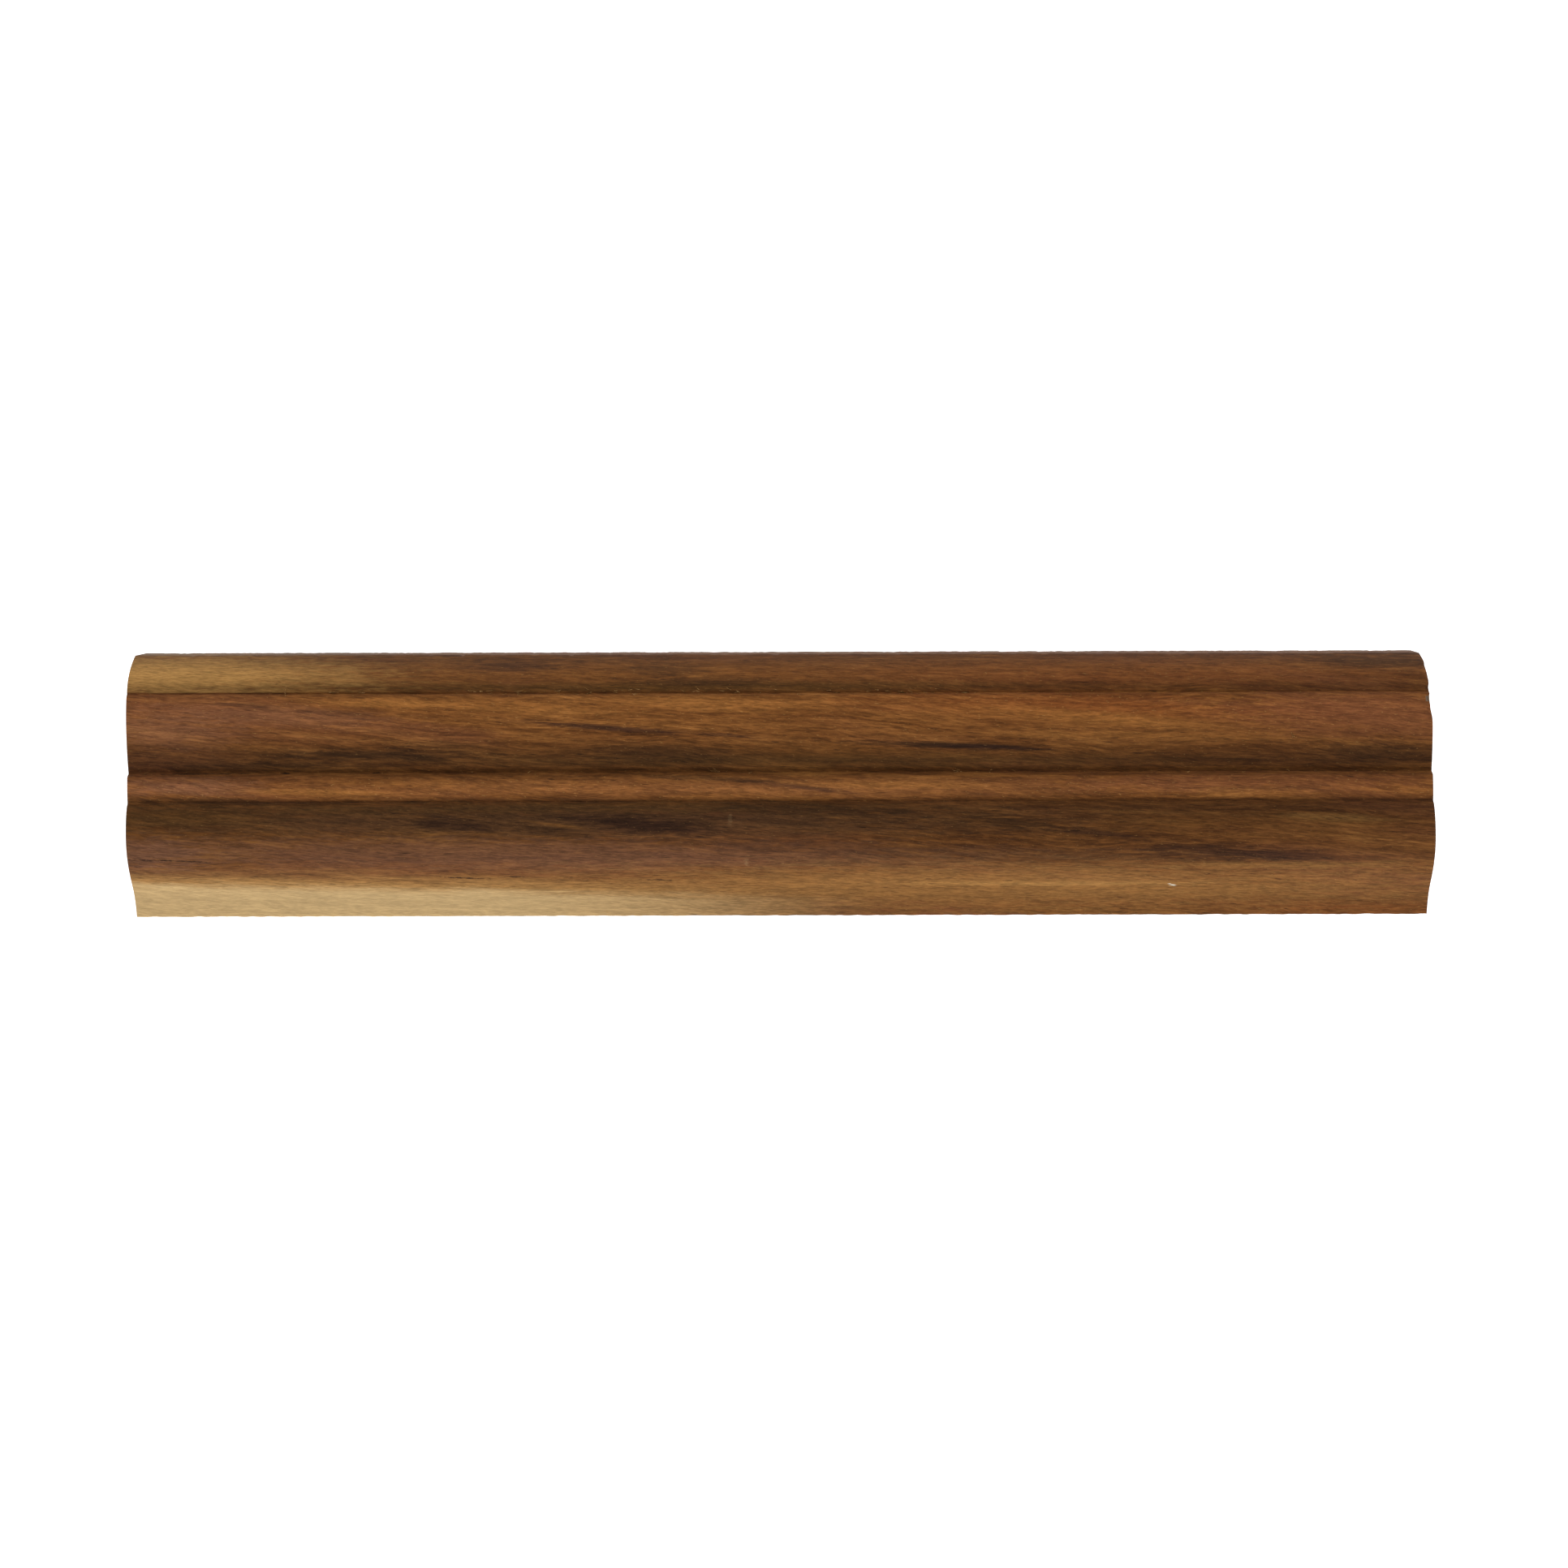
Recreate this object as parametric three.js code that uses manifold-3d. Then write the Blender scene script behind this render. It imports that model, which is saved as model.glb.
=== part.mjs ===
// A boat's grab rail: a moulded hardwood rail held off the deck by two timber chocks.
// Each chock is doweled to the rail and clamped to it by a cap screw, driven up from a
// counterbore in the chock's foot into a brass insert in the rail's back. Two more brass
// inserts in each foot take the screws that come up through the deck, and a rubber pad
// beds each foot.
// Units are millimetres. +X runs along the rail, +Y is the rail's upper edge, +Z points
// out of its moulded face, and z = 0 is the deck that the pads stand on.

import * as THREE from "three";
import { mergeVertices } from "three/addons/utils/BufferGeometryUtils.js";
import Module from "manifold-3d";

const wasm = await Module();
wasm.setup();

// The rail's overall sizes.
const rail = {
  length: 250,
  width: 50.8, // across the moulded face
  thickness: 22, // from the back to the wave's crest
  upperEdge: 11.9, // height of the upper side, at the moulded face
  lowerEdge: 13.3, // height of the lower side, at the moulded face
  flare: 0.9, // the upper side leans out by this much at the back
  backRound: 2, // round on both back arrises, for the fingers
  sawSkew: 0.01, // both ends are cut this far out of square, mm per mm of width
};

// The moulding's members across the face, from the upper edge down. Widths run across the
// face and the other lengths are heights above the rail's back. A pull is the share of its
// member's width at which a curve's control point stands, from the member's upper end.
const ovolo = { width: 7.5, top: 19.5, shoulder: 18.9, pull: 0.48 };
const quirk = { width: 0.7, floor: 19 };
const band = { width: 14.85, shoulder: 20, crown: 21.6, foot: 19, pull: 0.4 };
const riser = { width: 0.6 };
const bead = { width: 4.65, top: 20.2, crown: 20.5 };
const hollow = { width: 0.9, floor: 19.9 };
const waveRise = { width: 5.9, foot: 20.7, pull: 0.35 };
const waveFall = { width: 9.9, foot: 16.5, shoulder: 18.9, crestPull: 0.45, footPull: 0.75 };
const toe = { hollow: 14.3, pull: 0.4 };

const chock = {
  centre: 86, // distance of each chock's centre from the rail's middle
  height: 38,
  length: 60, // along X, at the foot
  width: 38, // across, at the foot
  cornerRadius: 8,
  endHollow: 6.5, // how deep the hollowed ends are
  sideHollow: 3.5, // how deep the hollowed sides are
  footBand: 5, // plain band left at the foot, below the hollows
  headBand: 4, // plain band left at the head, above the hollows
  fixingOffset: 15.5, // each dowel and foot insert stands this far from the chock's centre
};

const pad = { thickness: 2, inset: 1, accessHole: 7.2, screwHole: 3.6 };

// M6 x 40 socket-head cap screw, head down, with its counterbore in the chock.
const clamp = {
  shankRadius: 3,
  shankLength: 40,
  shankHole: 3.4, // radius in the chock
  headRadius: 5,
  headHeight: 6,
  socketRadius: 2.9, // across the corners of the hexagon
  socketDepth: 3,
  tipChamfer: 0.6,
  headChamfer: 0.5,
  counterbore: 6.8, // radius in the chock
  counterboreDepth: 12,
};

const washer = { radius: 6.2, hole: 3.2, thickness: 1.6 };
const springWasher = { radius: 5.9, hole: 3.1, thickness: 1.6, split: 1 };

// M6 brass insert for timber.
const insert = {
  length: 12.5,
  bodyRadius: 4.3,
  ridgeRadius: 5,
  ridges: 3,
  plainTail: 1, // length left without ridges at the inner end
  boreRadius: 3.15,
  flangeThickness: 1.2,
  recess: 0.2, // set this far below the timber's face
  slotWidth: 1.6,
  slotDepth: 1.8,
};

const dowel = { radius: 4, length: 27, chamfer: 0.8, depthInRail: 12 };
const fit = 0.15; // radial room round each round piece
const endRoom = 0.4; // room past the end of each blind piece
const overrun = 1; // how far a cutter runs past the face it opens

const deckToChock = pad.thickness;
const railBack = pad.thickness + chock.height;

const finishes = {
  rail: new THREE.MeshStandardMaterial({ color: 0x7d502d, roughness: 0.62, metalness: 0 }),
  chock: new THREE.MeshStandardMaterial({ color: 0x744627, roughness: 0.65, metalness: 0 }),
  dowel: new THREE.MeshStandardMaterial({ color: 0xc29a66, roughness: 0.7, metalness: 0 }),
  brass: new THREE.MeshStandardMaterial({ color: 0xb08d45, roughness: 0.35, metalness: 1 }),
  steel: new THREE.MeshStandardMaterial({ color: 0xb9bcc0, roughness: 0.3, metalness: 1 }),
  rubber: new THREE.MeshStandardMaterial({ color: 0x1d1e20, roughness: 0.85, metalness: 0 }),
};

// ---- booleans ----

function toSolid(geometry) {
  const bare = geometry.clone();
  bare.deleteAttribute("normal");
  bare.deleteAttribute("uv");
  const merged = mergeVertices(bare, 1e-4);
  return new wasm.Manifold(
    new wasm.Mesh({
      numProp: 3,
      vertProperties: new Float32Array(merged.attributes.position.array),
      triVerts: new Uint32Array(merged.index.array),
    }),
  );
}

function toGeometry(solid) {
  const mesh = solid.getMesh();
  const geometry = new THREE.BufferGeometry();
  geometry.setAttribute("position", new THREE.BufferAttribute(mesh.vertProperties, 3));
  geometry.setIndex(new THREE.BufferAttribute(mesh.triVerts, 1));
  geometry.computeVertexNormals();
  return geometry;
}

function cut(geometry, cutters) {
  return toGeometry(cutters.reduce((left, tool) => left.subtract(toSolid(tool)), toSolid(geometry)));
}

// ---- plain shapes ----

// A cylinder on a vertical axis through (x, 0), from one height up to another.
function upright(radius, bottom, top, x = 0, segments = 32) {
  const geometry = new THREE.CylinderGeometry(radius, radius, top - bottom, segments);
  geometry.rotateX(Math.PI / 2);
  geometry.translate(x, 0, (bottom + top) / 2);
  return geometry;
}

// A solid turned about +Z. The profile is a list of [radius, height], anticlockwise.
function turned(profile, segments) {
  const points = profile.map(([radius, height]) => new THREE.Vector2(radius, height));
  const geometry = new THREE.LatheGeometry(points, segments);
  geometry.rotateX(Math.PI / 2);
  return geometry;
}

function ring(inner, outer, thickness) {
  const profile = [
    [inner, 0],
    [outer, 0],
    [outer, thickness],
    [inner, thickness],
    [inner, 0],
  ];
  return turned(profile, 36);
}

function roundedRectangle(length, width, radius) {
  const x = length / 2;
  const y = width / 2;
  const shape = new THREE.Shape();
  shape.moveTo(-x + radius, -y);
  shape.lineTo(x - radius, -y);
  shape.absarc(x - radius, -y + radius, radius, -Math.PI / 2, 0);
  shape.lineTo(x, y - radius);
  shape.absarc(x - radius, y - radius, radius, 0, Math.PI / 2);
  shape.lineTo(-x + radius, y);
  shape.absarc(-x + radius, y - radius, radius, Math.PI / 2, Math.PI);
  shape.lineTo(-x, -y + radius);
  shape.absarc(-x + radius, -y + radius, radius, Math.PI, 1.5 * Math.PI);
  return shape;
}

// ---- the rail ----

// The rail's cross-section, with x across the face towards the upper edge and y away from
// the back. It goes up the upper side, down the moulding and back along the lower side.
function railOutline() {
  const upper = (rail.width - rail.flare) / 2;
  const lower = upper - rail.width;
  const back = upper + rail.flare;
  const ovoloEnd = upper - ovolo.width;
  const bandStart = ovoloEnd - quirk.width;
  const bandEnd = bandStart - band.width;
  const beadStart = bandEnd - riser.width;
  const beadEnd = beadStart - bead.width;
  const waveStart = beadEnd - hollow.width;
  const crest = waveStart - waveRise.width;
  const waveEnd = crest - waveFall.width;
  const toeWidth = waveEnd - lower;
  const outline = new THREE.Shape();
  outline.moveTo(lower + rail.backRound, 0);
  outline.lineTo(back - rail.backRound, 0);
  outline.quadraticCurveTo(back, 0, back, rail.backRound);
  outline.lineTo(upper, rail.upperEdge);
  outline.quadraticCurveTo(upper - ovolo.width * ovolo.pull, ovolo.shoulder, ovoloEnd, ovolo.top);
  outline.lineTo(ovoloEnd - quirk.width / 2, quirk.floor);
  outline.lineTo(bandStart, band.shoulder);
  outline.quadraticCurveTo(bandStart - band.width * band.pull, band.crown, bandEnd, band.foot);
  outline.lineTo(beadStart, bead.top);
  outline.quadraticCurveTo(beadStart - bead.width / 2, bead.crown, beadEnd, bead.top);
  outline.quadraticCurveTo(beadEnd - hollow.width / 2, hollow.floor, waveStart, waveRise.foot);
  outline.quadraticCurveTo(waveStart - waveRise.width * waveRise.pull, rail.thickness, crest, rail.thickness);
  outline.bezierCurveTo(
    crest - waveFall.width * waveFall.crestPull,
    rail.thickness,
    crest - waveFall.width * waveFall.footPull,
    waveFall.shoulder,
    waveEnd,
    waveFall.foot,
  );
  outline.quadraticCurveTo(waveEnd - toeWidth * toe.pull, toe.hollow, lower, rail.lowerEdge);
  outline.lineTo(lower, rail.backRound);
  outline.quadraticCurveTo(lower, 0, lower + rail.backRound, 0);
  return outline;
}

// Lays an extruded cross-section along X, with both ends sawn slightly out of square.
function layAlongX(geometry, length) {
  const matrix = new THREE.Matrix4().set(
    -rail.sawSkew, 0, 1, -length / 2,
    1, 0, 0, 0,
    0, 1, 0, 0,
    0, 0, 0, 1,
  );
  return geometry.applyMatrix4(matrix);
}

// The hole for an insert whose mouth is at z = 0.
function insertHole(x) {
  return upright(insert.ridgeRadius + fit, -overrun, insert.recess + insert.length + endRoom, x);
}

function railGeometry() {
  const blank = new THREE.ExtrudeGeometry(railOutline(), {
    depth: rail.length,
    bevelEnabled: false,
    curveSegments: 8,
  });
  const holes = [];
  for (const side of [-1, 1]) {
    const centre = side * chock.centre;
    holes.push(insertHole(centre));
    for (const end of [-1, 1]) {
      const x = centre + end * chock.fixingOffset;
      holes.push(upright(dowel.radius + fit, -overrun, dowel.depthInRail + endRoom, x));
    }
  }
  return cut(layAlongX(blank, rail.length), holes);
}

// ---- the chocks, in their own frame: z = 0 is the foot's underside ----

// A bar across the chock whose round side takes a hollow of the given depth out of a face
// that stands at the given reach from the chock's middle, towards +X or +Y.
function hollower(depth, reach, alongY) {
  const chord = chock.height - chock.footBand - chock.headBand;
  const radius = (chord * chord) / (8 * depth) + depth / 2;
  const bar = new THREE.CylinderGeometry(radius, radius, 2 * chock.length, 80);
  if (!alongY) bar.rotateZ(Math.PI / 2);
  const out = reach - depth + radius;
  bar.translate(alongY ? out : 0, alongY ? 0 : out, chock.footBand + chord / 2);
  return bar;
}

function chockGeometry() {
  const block = new THREE.ExtrudeGeometry(
    roundedRectangle(chock.length, chock.width, chock.cornerRadius),
    { depth: chock.height, bevelEnabled: false, curveSegments: 6 },
  );
  const tools = [];
  for (const turn of [0, Math.PI]) {
    tools.push(hollower(chock.endHollow, chock.length / 2, true).rotateZ(turn));
    tools.push(hollower(chock.sideHollow, chock.width / 2, false).rotateZ(turn));
  }
  tools.push(upright(clamp.counterbore, -overrun, clamp.counterboreDepth));
  tools.push(upright(clamp.shankHole, 0, chock.height + overrun));
  const dowelEnd = chock.height - (dowel.length - dowel.depthInRail) - endRoom;
  for (const end of [-1, 1]) {
    const x = end * chock.fixingOffset;
    tools.push(upright(dowel.radius + fit, dowelEnd, chock.height + overrun, x));
    tools.push(insertHole(x));
  }
  return cut(block, tools);
}

function padGeometry() {
  const shape = roundedRectangle(
    chock.length - 2 * pad.inset,
    chock.width - 2 * pad.inset,
    chock.cornerRadius - pad.inset,
  );
  const holes = [
    [0, pad.accessHole],
    [-chock.fixingOffset, pad.screwHole],
    [chock.fixingOffset, pad.screwHole],
  ];
  for (const [x, radius] of holes) {
    const hole = new THREE.Path();
    hole.absarc(x, 0, radius, 0, 2 * Math.PI, true);
    shape.holes.push(hole);
  }
  return new THREE.ExtrudeGeometry(shape, {
    depth: pad.thickness,
    bevelEnabled: false,
    curveSegments: 9,
  });
}

// ---- fastenings ----

// Socket-head cap screw, head down. z = 0 is the seat under its head.
function clampScrewGeometry() {
  const { shankRadius, shankLength, headRadius, headHeight, tipChamfer, headChamfer } = clamp;
  const profile = [
    [0, -headHeight],
    [headRadius - headChamfer, -headHeight],
    [headRadius, -headHeight + headChamfer],
    [headRadius, 0],
    [shankRadius, 0],
    [shankRadius, shankLength - tipChamfer],
    [shankRadius - tipChamfer, shankLength],
    [0, shankLength],
  ];
  const socketTop = -headHeight + clamp.socketDepth;
  const socket = upright(clamp.socketRadius, -headHeight - overrun, socketTop, 0, 6);
  return cut(turned(profile, 36), [socket]);
}

function washerGeometry() {
  return ring(washer.hole, washer.radius, washer.thickness);
}

// A split ring, shown flattened as it is when the screw is tight.
function springWasherGeometry() {
  const { hole, radius, thickness, split } = springWasher;
  const slit = new THREE.BoxGeometry(radius, split, 3 * thickness);
  slit.translate(hole + radius / 2 - overrun, 0, thickness / 2);
  return cut(ring(hole, radius, thickness), [slit]);
}

// Threaded insert, mouth down at z = 0: a slotted flange, then a body with timber ridges.
function insertGeometry() {
  const { length, bodyRadius, ridgeRadius, ridges, plainTail, boreRadius, flangeThickness } = insert;
  const profile = [
    [boreRadius, 0],
    [ridgeRadius, 0],
    [ridgeRadius, flangeThickness],
    [bodyRadius, flangeThickness],
  ];
  const pitch = (length - flangeThickness - plainTail) / ridges;
  for (let i = 0; i < ridges; i++) {
    const ridgeMiddle = flangeThickness + (i + 0.6) * pitch;
    profile.push([bodyRadius, ridgeMiddle - pitch / 4]);
    profile.push([ridgeRadius, ridgeMiddle]);
    profile.push([bodyRadius, ridgeMiddle + pitch / 4]);
  }
  profile.push([bodyRadius, length], [boreRadius, length], [boreRadius, 0]);
  const slot = new THREE.BoxGeometry(3 * ridgeRadius, insert.slotWidth, 2 * insert.slotDepth);
  return cut(turned(profile, 18), [slot]);
}

function dowelGeometry() {
  const { radius, length, chamfer } = dowel;
  const profile = [
    [0, 0],
    [radius - chamfer, 0],
    [radius, chamfer],
    [radius, length - chamfer],
    [radius - chamfer, length],
    [0, length],
  ];
  return turned(profile, 24);
}

// ---- assembly ----

function piece(name, geometry, material, x, z) {
  const mesh = new THREE.Mesh(geometry, material);
  mesh.name = name;
  mesh.position.set(x, 0, z);
  return mesh;
}

const washerSeat = deckToChock + clamp.counterboreDepth - washer.thickness;
const springSeat = washerSeat - springWasher.thickness;
const dowelFoot = railBack + dowel.depthInRail - dowel.length;
const footInsertMouth = deckToChock + insert.recess;

// One foot with all that holds it to the rail. Side is -1 for the left foot and 1 for the right.
function footGroup(hand, side) {
  const foot = new THREE.Group();
  foot.position.x = side * chock.centre;
  foot.add(piece(`${hand}_chock`, chockGeometry(), finishes.chock, 0, deckToChock));
  foot.add(piece(`${hand}_bedding_pad`, padGeometry(), finishes.rubber, 0, 0));
  foot.add(piece(`${hand}_clamp_screw`, clampScrewGeometry(), finishes.steel, 0, springSeat));
  foot.add(piece(`${hand}_spring_washer`, springWasherGeometry(), finishes.steel, 0, springSeat));
  foot.add(piece(`${hand}_clamp_washer`, washerGeometry(), finishes.steel, 0, washerSeat));
  foot.add(piece(`${hand}_rail_insert`, insertGeometry(), finishes.brass, 0, railBack + insert.recess));
  for (const [place, end] of [["inner", -side], ["outer", side]]) {
    const x = end * chock.fixingOffset;
    foot.add(piece(`${hand}_${place}_dowel`, dowelGeometry(), finishes.dowel, x, dowelFoot));
    foot.add(piece(`${hand}_${place}_foot_insert`, insertGeometry(), finishes.brass, x, footInsertMouth));
  }
  return foot;
}

const grabRail = new THREE.Group();
grabRail.add(piece("rail", railGeometry(), finishes.rail, 0, railBack));
grabRail.add(footGroup("left", -1));
grabRail.add(footGroup("right", 1));

export default grabRail;
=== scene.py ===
import math
import random

import bmesh
import bpy
from mathutils import Matrix, Vector, noise
from mathutils.geometry import interpolate_bezier


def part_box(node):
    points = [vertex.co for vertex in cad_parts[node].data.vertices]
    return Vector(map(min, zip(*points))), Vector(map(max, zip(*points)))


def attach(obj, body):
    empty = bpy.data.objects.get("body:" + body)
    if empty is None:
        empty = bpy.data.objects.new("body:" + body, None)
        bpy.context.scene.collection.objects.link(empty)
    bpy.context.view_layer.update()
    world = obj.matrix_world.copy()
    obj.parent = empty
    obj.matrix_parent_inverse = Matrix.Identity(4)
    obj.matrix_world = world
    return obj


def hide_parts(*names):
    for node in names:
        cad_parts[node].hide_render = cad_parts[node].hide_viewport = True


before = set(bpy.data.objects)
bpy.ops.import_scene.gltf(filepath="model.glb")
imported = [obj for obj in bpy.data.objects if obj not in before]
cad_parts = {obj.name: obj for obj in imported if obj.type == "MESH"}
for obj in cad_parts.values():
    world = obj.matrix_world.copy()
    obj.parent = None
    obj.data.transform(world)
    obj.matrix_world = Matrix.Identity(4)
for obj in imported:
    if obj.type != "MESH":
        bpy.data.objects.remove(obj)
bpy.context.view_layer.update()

mm = 0.001
print("frame loaded:", len(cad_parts), "nodes")

# small helpers for meshes

def finishPiece(name, bm, materials, replaced=()):
    # turns a bmesh into a finished piece that rides on the one body
    bmesh.ops.remove_doubles(bm, verts=bm.verts[:], dist=0.003 * mm)
    bmesh.ops.dissolve_degenerate(bm, edges=bm.edges[:], dist=0.002 * mm)
    bmesh.ops.recalc_face_normals(bm, faces=bm.faces[:])
    mesh = bpy.data.meshes.new(name)
    bm.to_mesh(mesh)
    bm.free()
    for face in mesh.polygons:
        face.use_smooth = True
    mesh.set_sharp_from_angle(angle=math.radians(35))
    for material in materials:
        mesh.materials.append(material)
    piece = bpy.data.objects.new(name, mesh)
    bpy.context.scene.collection.objects.link(piece)
    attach(piece, "root")
    if replaced:
        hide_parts(*replaced)
    return piece


def drawTo(points, end, handles=None, steps=12):
    # carries an outline on to a point, straight or along a bezier
    end = Vector(end)
    if handles is None:
        points.append(end)
    else:
        first, second = (Vector(handle) for handle in handles)
        points.extend(interpolate_bezier(points[-1], first, second, end, steps + 1)[1:])


def sweepTo(points, control, end, steps=12):
    # the same along a curve with one control point
    start = points[-1]
    control = Vector(control)
    end = Vector(end)
    drawTo(points, end, (start.lerp(control, 2 / 3), end.lerp(control, 2 / 3)), steps)


def vertsOf(result):
    return [item for item in result["geom"] if isinstance(item, bmesh.types.BMVert)]


def facesOf(result):
    return [item for item in result["geom"] if isinstance(item, bmesh.types.BMFace)]


def extrude(bm, faces):
    # extrudes joined faces; the old ones stay only where they close the bottom of a new solid
    inside = all(len(e.link_faces) > 1 for f in faces for e in f.edges)
    pulled = bmesh.ops.extrude_face_region(bm, geom=faces)
    if inside:
        bmesh.ops.delete(bm, geom=faces, context="FACES_ONLY")
    return pulled


def pullFace(bm, face, shift, scale=(1, 1, 1), middle=(0, 0, 0)):
    # extrudes a face, moves it and scales it about an upright line, and returns the moved face
    pulled = extrude(bm, [face])
    bmesh.ops.translate(bm, vec=shift, verts=vertsOf(pulled))
    bmesh.ops.scale(bm, vec=scale, space=Matrix.Translation(-Vector(middle)), verts=vertsOf(pulled))
    return facesOf(pulled)[0]


def roundOff(bm, geom, offset, steps, affect="EDGES", **settings):
    bmesh.ops.bevel(bm, geom=geom, offset=offset, affect=affect, segments=steps, profile=0.5, material=-1,
                    **settings)


def roundRims(bm, offset, steps):
    # rounds every edge that turns a corner of more than 60 degrees
    rims = [e for e in bm.edges if e.calc_face_angle(0) > math.radians(60)]
    roundOff(bm, rims, offset, steps)


def roundedBlank(bm, length, width, radius, steps, place):
    # one flat face with round corners
    bmesh.ops.create_grid(bm, x_segments=1, y_segments=1, size=0.5)
    bmesh.ops.scale(bm, vec=(length, width, 1), verts=bm.verts[:])
    roundOff(bm, bm.verts[:], radius, steps, "VERTICES", offset_type="OFFSET")
    bmesh.ops.translate(bm, vec=place, verts=bm.verts[:])
    return bm.faces[:][0]


def turn(bm, profile, x, z, steps):
    # spins a profile of (radius, height) points, in millimetres, right round an upright line at x
    ring = [bm.verts.new((x + radius * mm, 0, z + height * mm)) for radius, height in profile]
    edges = [bm.edges.new(pair) for pair in zip(ring, ring[1:])]
    if profile[0][0] > 0 and profile[-1][0] > 0:
        edges.append(bm.edges.new((ring[-1], ring[0])))
    bmesh.ops.spin(bm, geom=ring + edges, cent=(x, 0, 0), axis=(0, 0, 1), angle=2 * math.pi, steps=steps,
                   use_merge=True, use_duplicate=False)
    bmesh.ops.remove_doubles(bm, verts=bm.verts[:], dist=0.003 * mm)
    bmesh.ops.recalc_face_normals(bm, faces=bm.faces[:])


def addPlug(bm, x, low, high, radius, topRadius=None, segments=64):
    # an upright cutter, straight or tapered, round unless it is given few sides
    topRadius = radius if topRadius is None else topRadius
    bmesh.ops.create_cone(bm, cap_ends=True, segments=segments, radius1=radius, radius2=topRadius,
                          depth=high - low, matrix=Matrix.Translation((x, 0, (low + high) / 2)))


def cutAway(bm, cutter):
    # takes the cutter's shapes out of the solid in bm
    pair = []
    for part in (bm, cutter):
        mesh = bpy.data.meshes.new("blank")
        part.to_mesh(mesh)
        blank = bpy.data.objects.new("blank", mesh)
        bpy.context.scene.collection.objects.link(blank)
        pair.append(blank)
    boolean = pair[0].modifiers.new("cut", "BOOLEAN")
    boolean.operation = "DIFFERENCE"
    boolean.solver = "EXACT"
    boolean.object = pair[1]
    bpy.context.view_layer.update()
    result = pair[0].evaluated_get(bpy.context.evaluated_depsgraph_get())
    bm.clear()
    bm.from_mesh(result.to_mesh())
    result.to_mesh_clear()
    cutter.free()
    for blank in pair:
        mesh = blank.data
        bpy.data.objects.remove(blank)
        bpy.data.meshes.remove(mesh)


def seatOf(name):
    # the corners of a CAD node's box and its middle along the rail
    low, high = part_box(name)
    return low, high, (low.x + high.x) / 2


# small helpers for materials

def put(tree, kind, inputs=None, **settings):
    # adds a node, makes its settings, and sets or links its inputs
    made = tree.nodes.new(kind)
    for name, value in settings.items():
        setattr(made, name, value)
    for name, value in (inputs or {}).items():
        if isinstance(value, bpy.types.NodeSocket):
            tree.links.new(value, made.inputs[name])
        else:
            made.inputs[name].default_value = value
    return made


def reckon(tree, operation, *values):
    return put(tree, "ShaderNodeMath", dict(enumerate(values)), operation=operation).outputs[0]


def span(tree, value, low, high, toLow=0.0, toHigh=1.0):
    # a smooth change from one value to another
    inputs = {"Value": value, "From Min": low, "From Max": high, "To Min": toLow, "To Max": toHigh}
    return put(tree, "ShaderNodeMapRange", inputs, interpolation_type="SMOOTHSTEP").outputs[0]


def blendColour(tree, way, factor, below, above):
    inputs = {0: factor, 6: below, 7: above}
    return put(tree, "ShaderNodeMix", inputs, data_type="RGBA", blend_type=way).outputs[2]


def rampColour(tree, factor, stops):
    ramp = put(tree, "ShaderNodeValToRGB", {"Fac": factor})
    elements = ramp.color_ramp.elements
    while len(elements) < len(stops):
        elements.new(0.5)
    for element, (place, colour) in zip(elements, stops):
        element.position = place
        element.color = (*colour, 1)
    return ramp.outputs[0]


def noiseAt(tree, vector, scale, detail=2.0, roughness=0.5, distortion=0.0):
    inputs = {"Vector": vector, "Scale": scale, "Detail": detail, "Roughness": roughness,
              "Distortion": distortion}
    return put(tree, "ShaderNodeTexNoise", inputs).outputs[0]


def stretch(tree, vector, scales, shift=(0, 0, 0)):
    inputs = {"Vector": vector, "Location": shift, "Scale": scales}
    return put(tree, "ShaderNodeMapping", inputs).outputs[0]


def scaleVector(tree, vector, size):
    inputs = {0: vector, "Scale": size}
    return put(tree, "ShaderNodeVectorMath", inputs, operation="SCALE").outputs[0]


def millimetres(tree):
    return stretch(tree, put(tree, "ShaderNodeTexCoord").outputs["Object"], (1000, 1000, 1000))


def greyOf(tree, value):
    return put(tree, "ShaderNodeCombineColor", {0: value, 1: value, 2: value}).outputs[0]


def shadeBy(tree, colour, value, low, high, dark, light):
    # darkens and lightens a colour with a pattern
    shade = greyOf(tree, span(tree, value, low, high, dark, light))
    return blendColour(tree, "MULTIPLY", 1.0, colour, shade)


def cover(tree, colour, mask, paint, share=None):
    # lays a paint, or a share of it, over a colour where the mask is
    if share is not None:
        mask = reckon(tree, "MULTIPLY", mask, share)
    return blendColour(tree, "MIX", mask, colour, (*paint, 1))


def weighted(tree, *parts, start=0.0):
    # adds up patterns, each with its own weight
    total = start
    for pattern, weight in parts:
        total = reckon(tree, "MULTIPLY_ADD", pattern, weight, total)
    return total


def useGroup(tree, group, vector, values=None):
    # places a group in a material with its own values
    inputs = {"Vector": vector, **(values or {})}
    return put(tree, "ShaderNodeGroup", inputs, node_tree=group).outputs


def newMaterial(name, roughness, metallic=0.0, specular=0.5):
    material = bpy.data.materials.new(name)
    material.use_nodes = True
    tree = material.node_tree
    shader = tree.nodes["Principled BSDF"]
    shader.inputs["Roughness"].default_value = roughness
    shader.inputs["Metallic"].default_value = metallic
    shader.inputs["Specular IOR Level"].default_value = specular
    return material, tree, shader


def wire(tree, shader, colour, height=None, bumpDepth=0.0, strength=0.5, roughness=None):
    # joins the finished colour, roughness and bump to the shader; the depth is in millimetres
    tree.links.new(colour, shader.inputs["Base Color"])
    if roughness is not None:
        tree.links.new(roughness, shader.inputs["Roughness"])
    if height is not None:
        inputs = {"Height": height, "Strength": strength, "Distance": bumpDepth * mm}
        bump = put(tree, "ShaderNodeBump", inputs)
        tree.links.new(bump.outputs[0], shader.inputs["Normal"])


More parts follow.
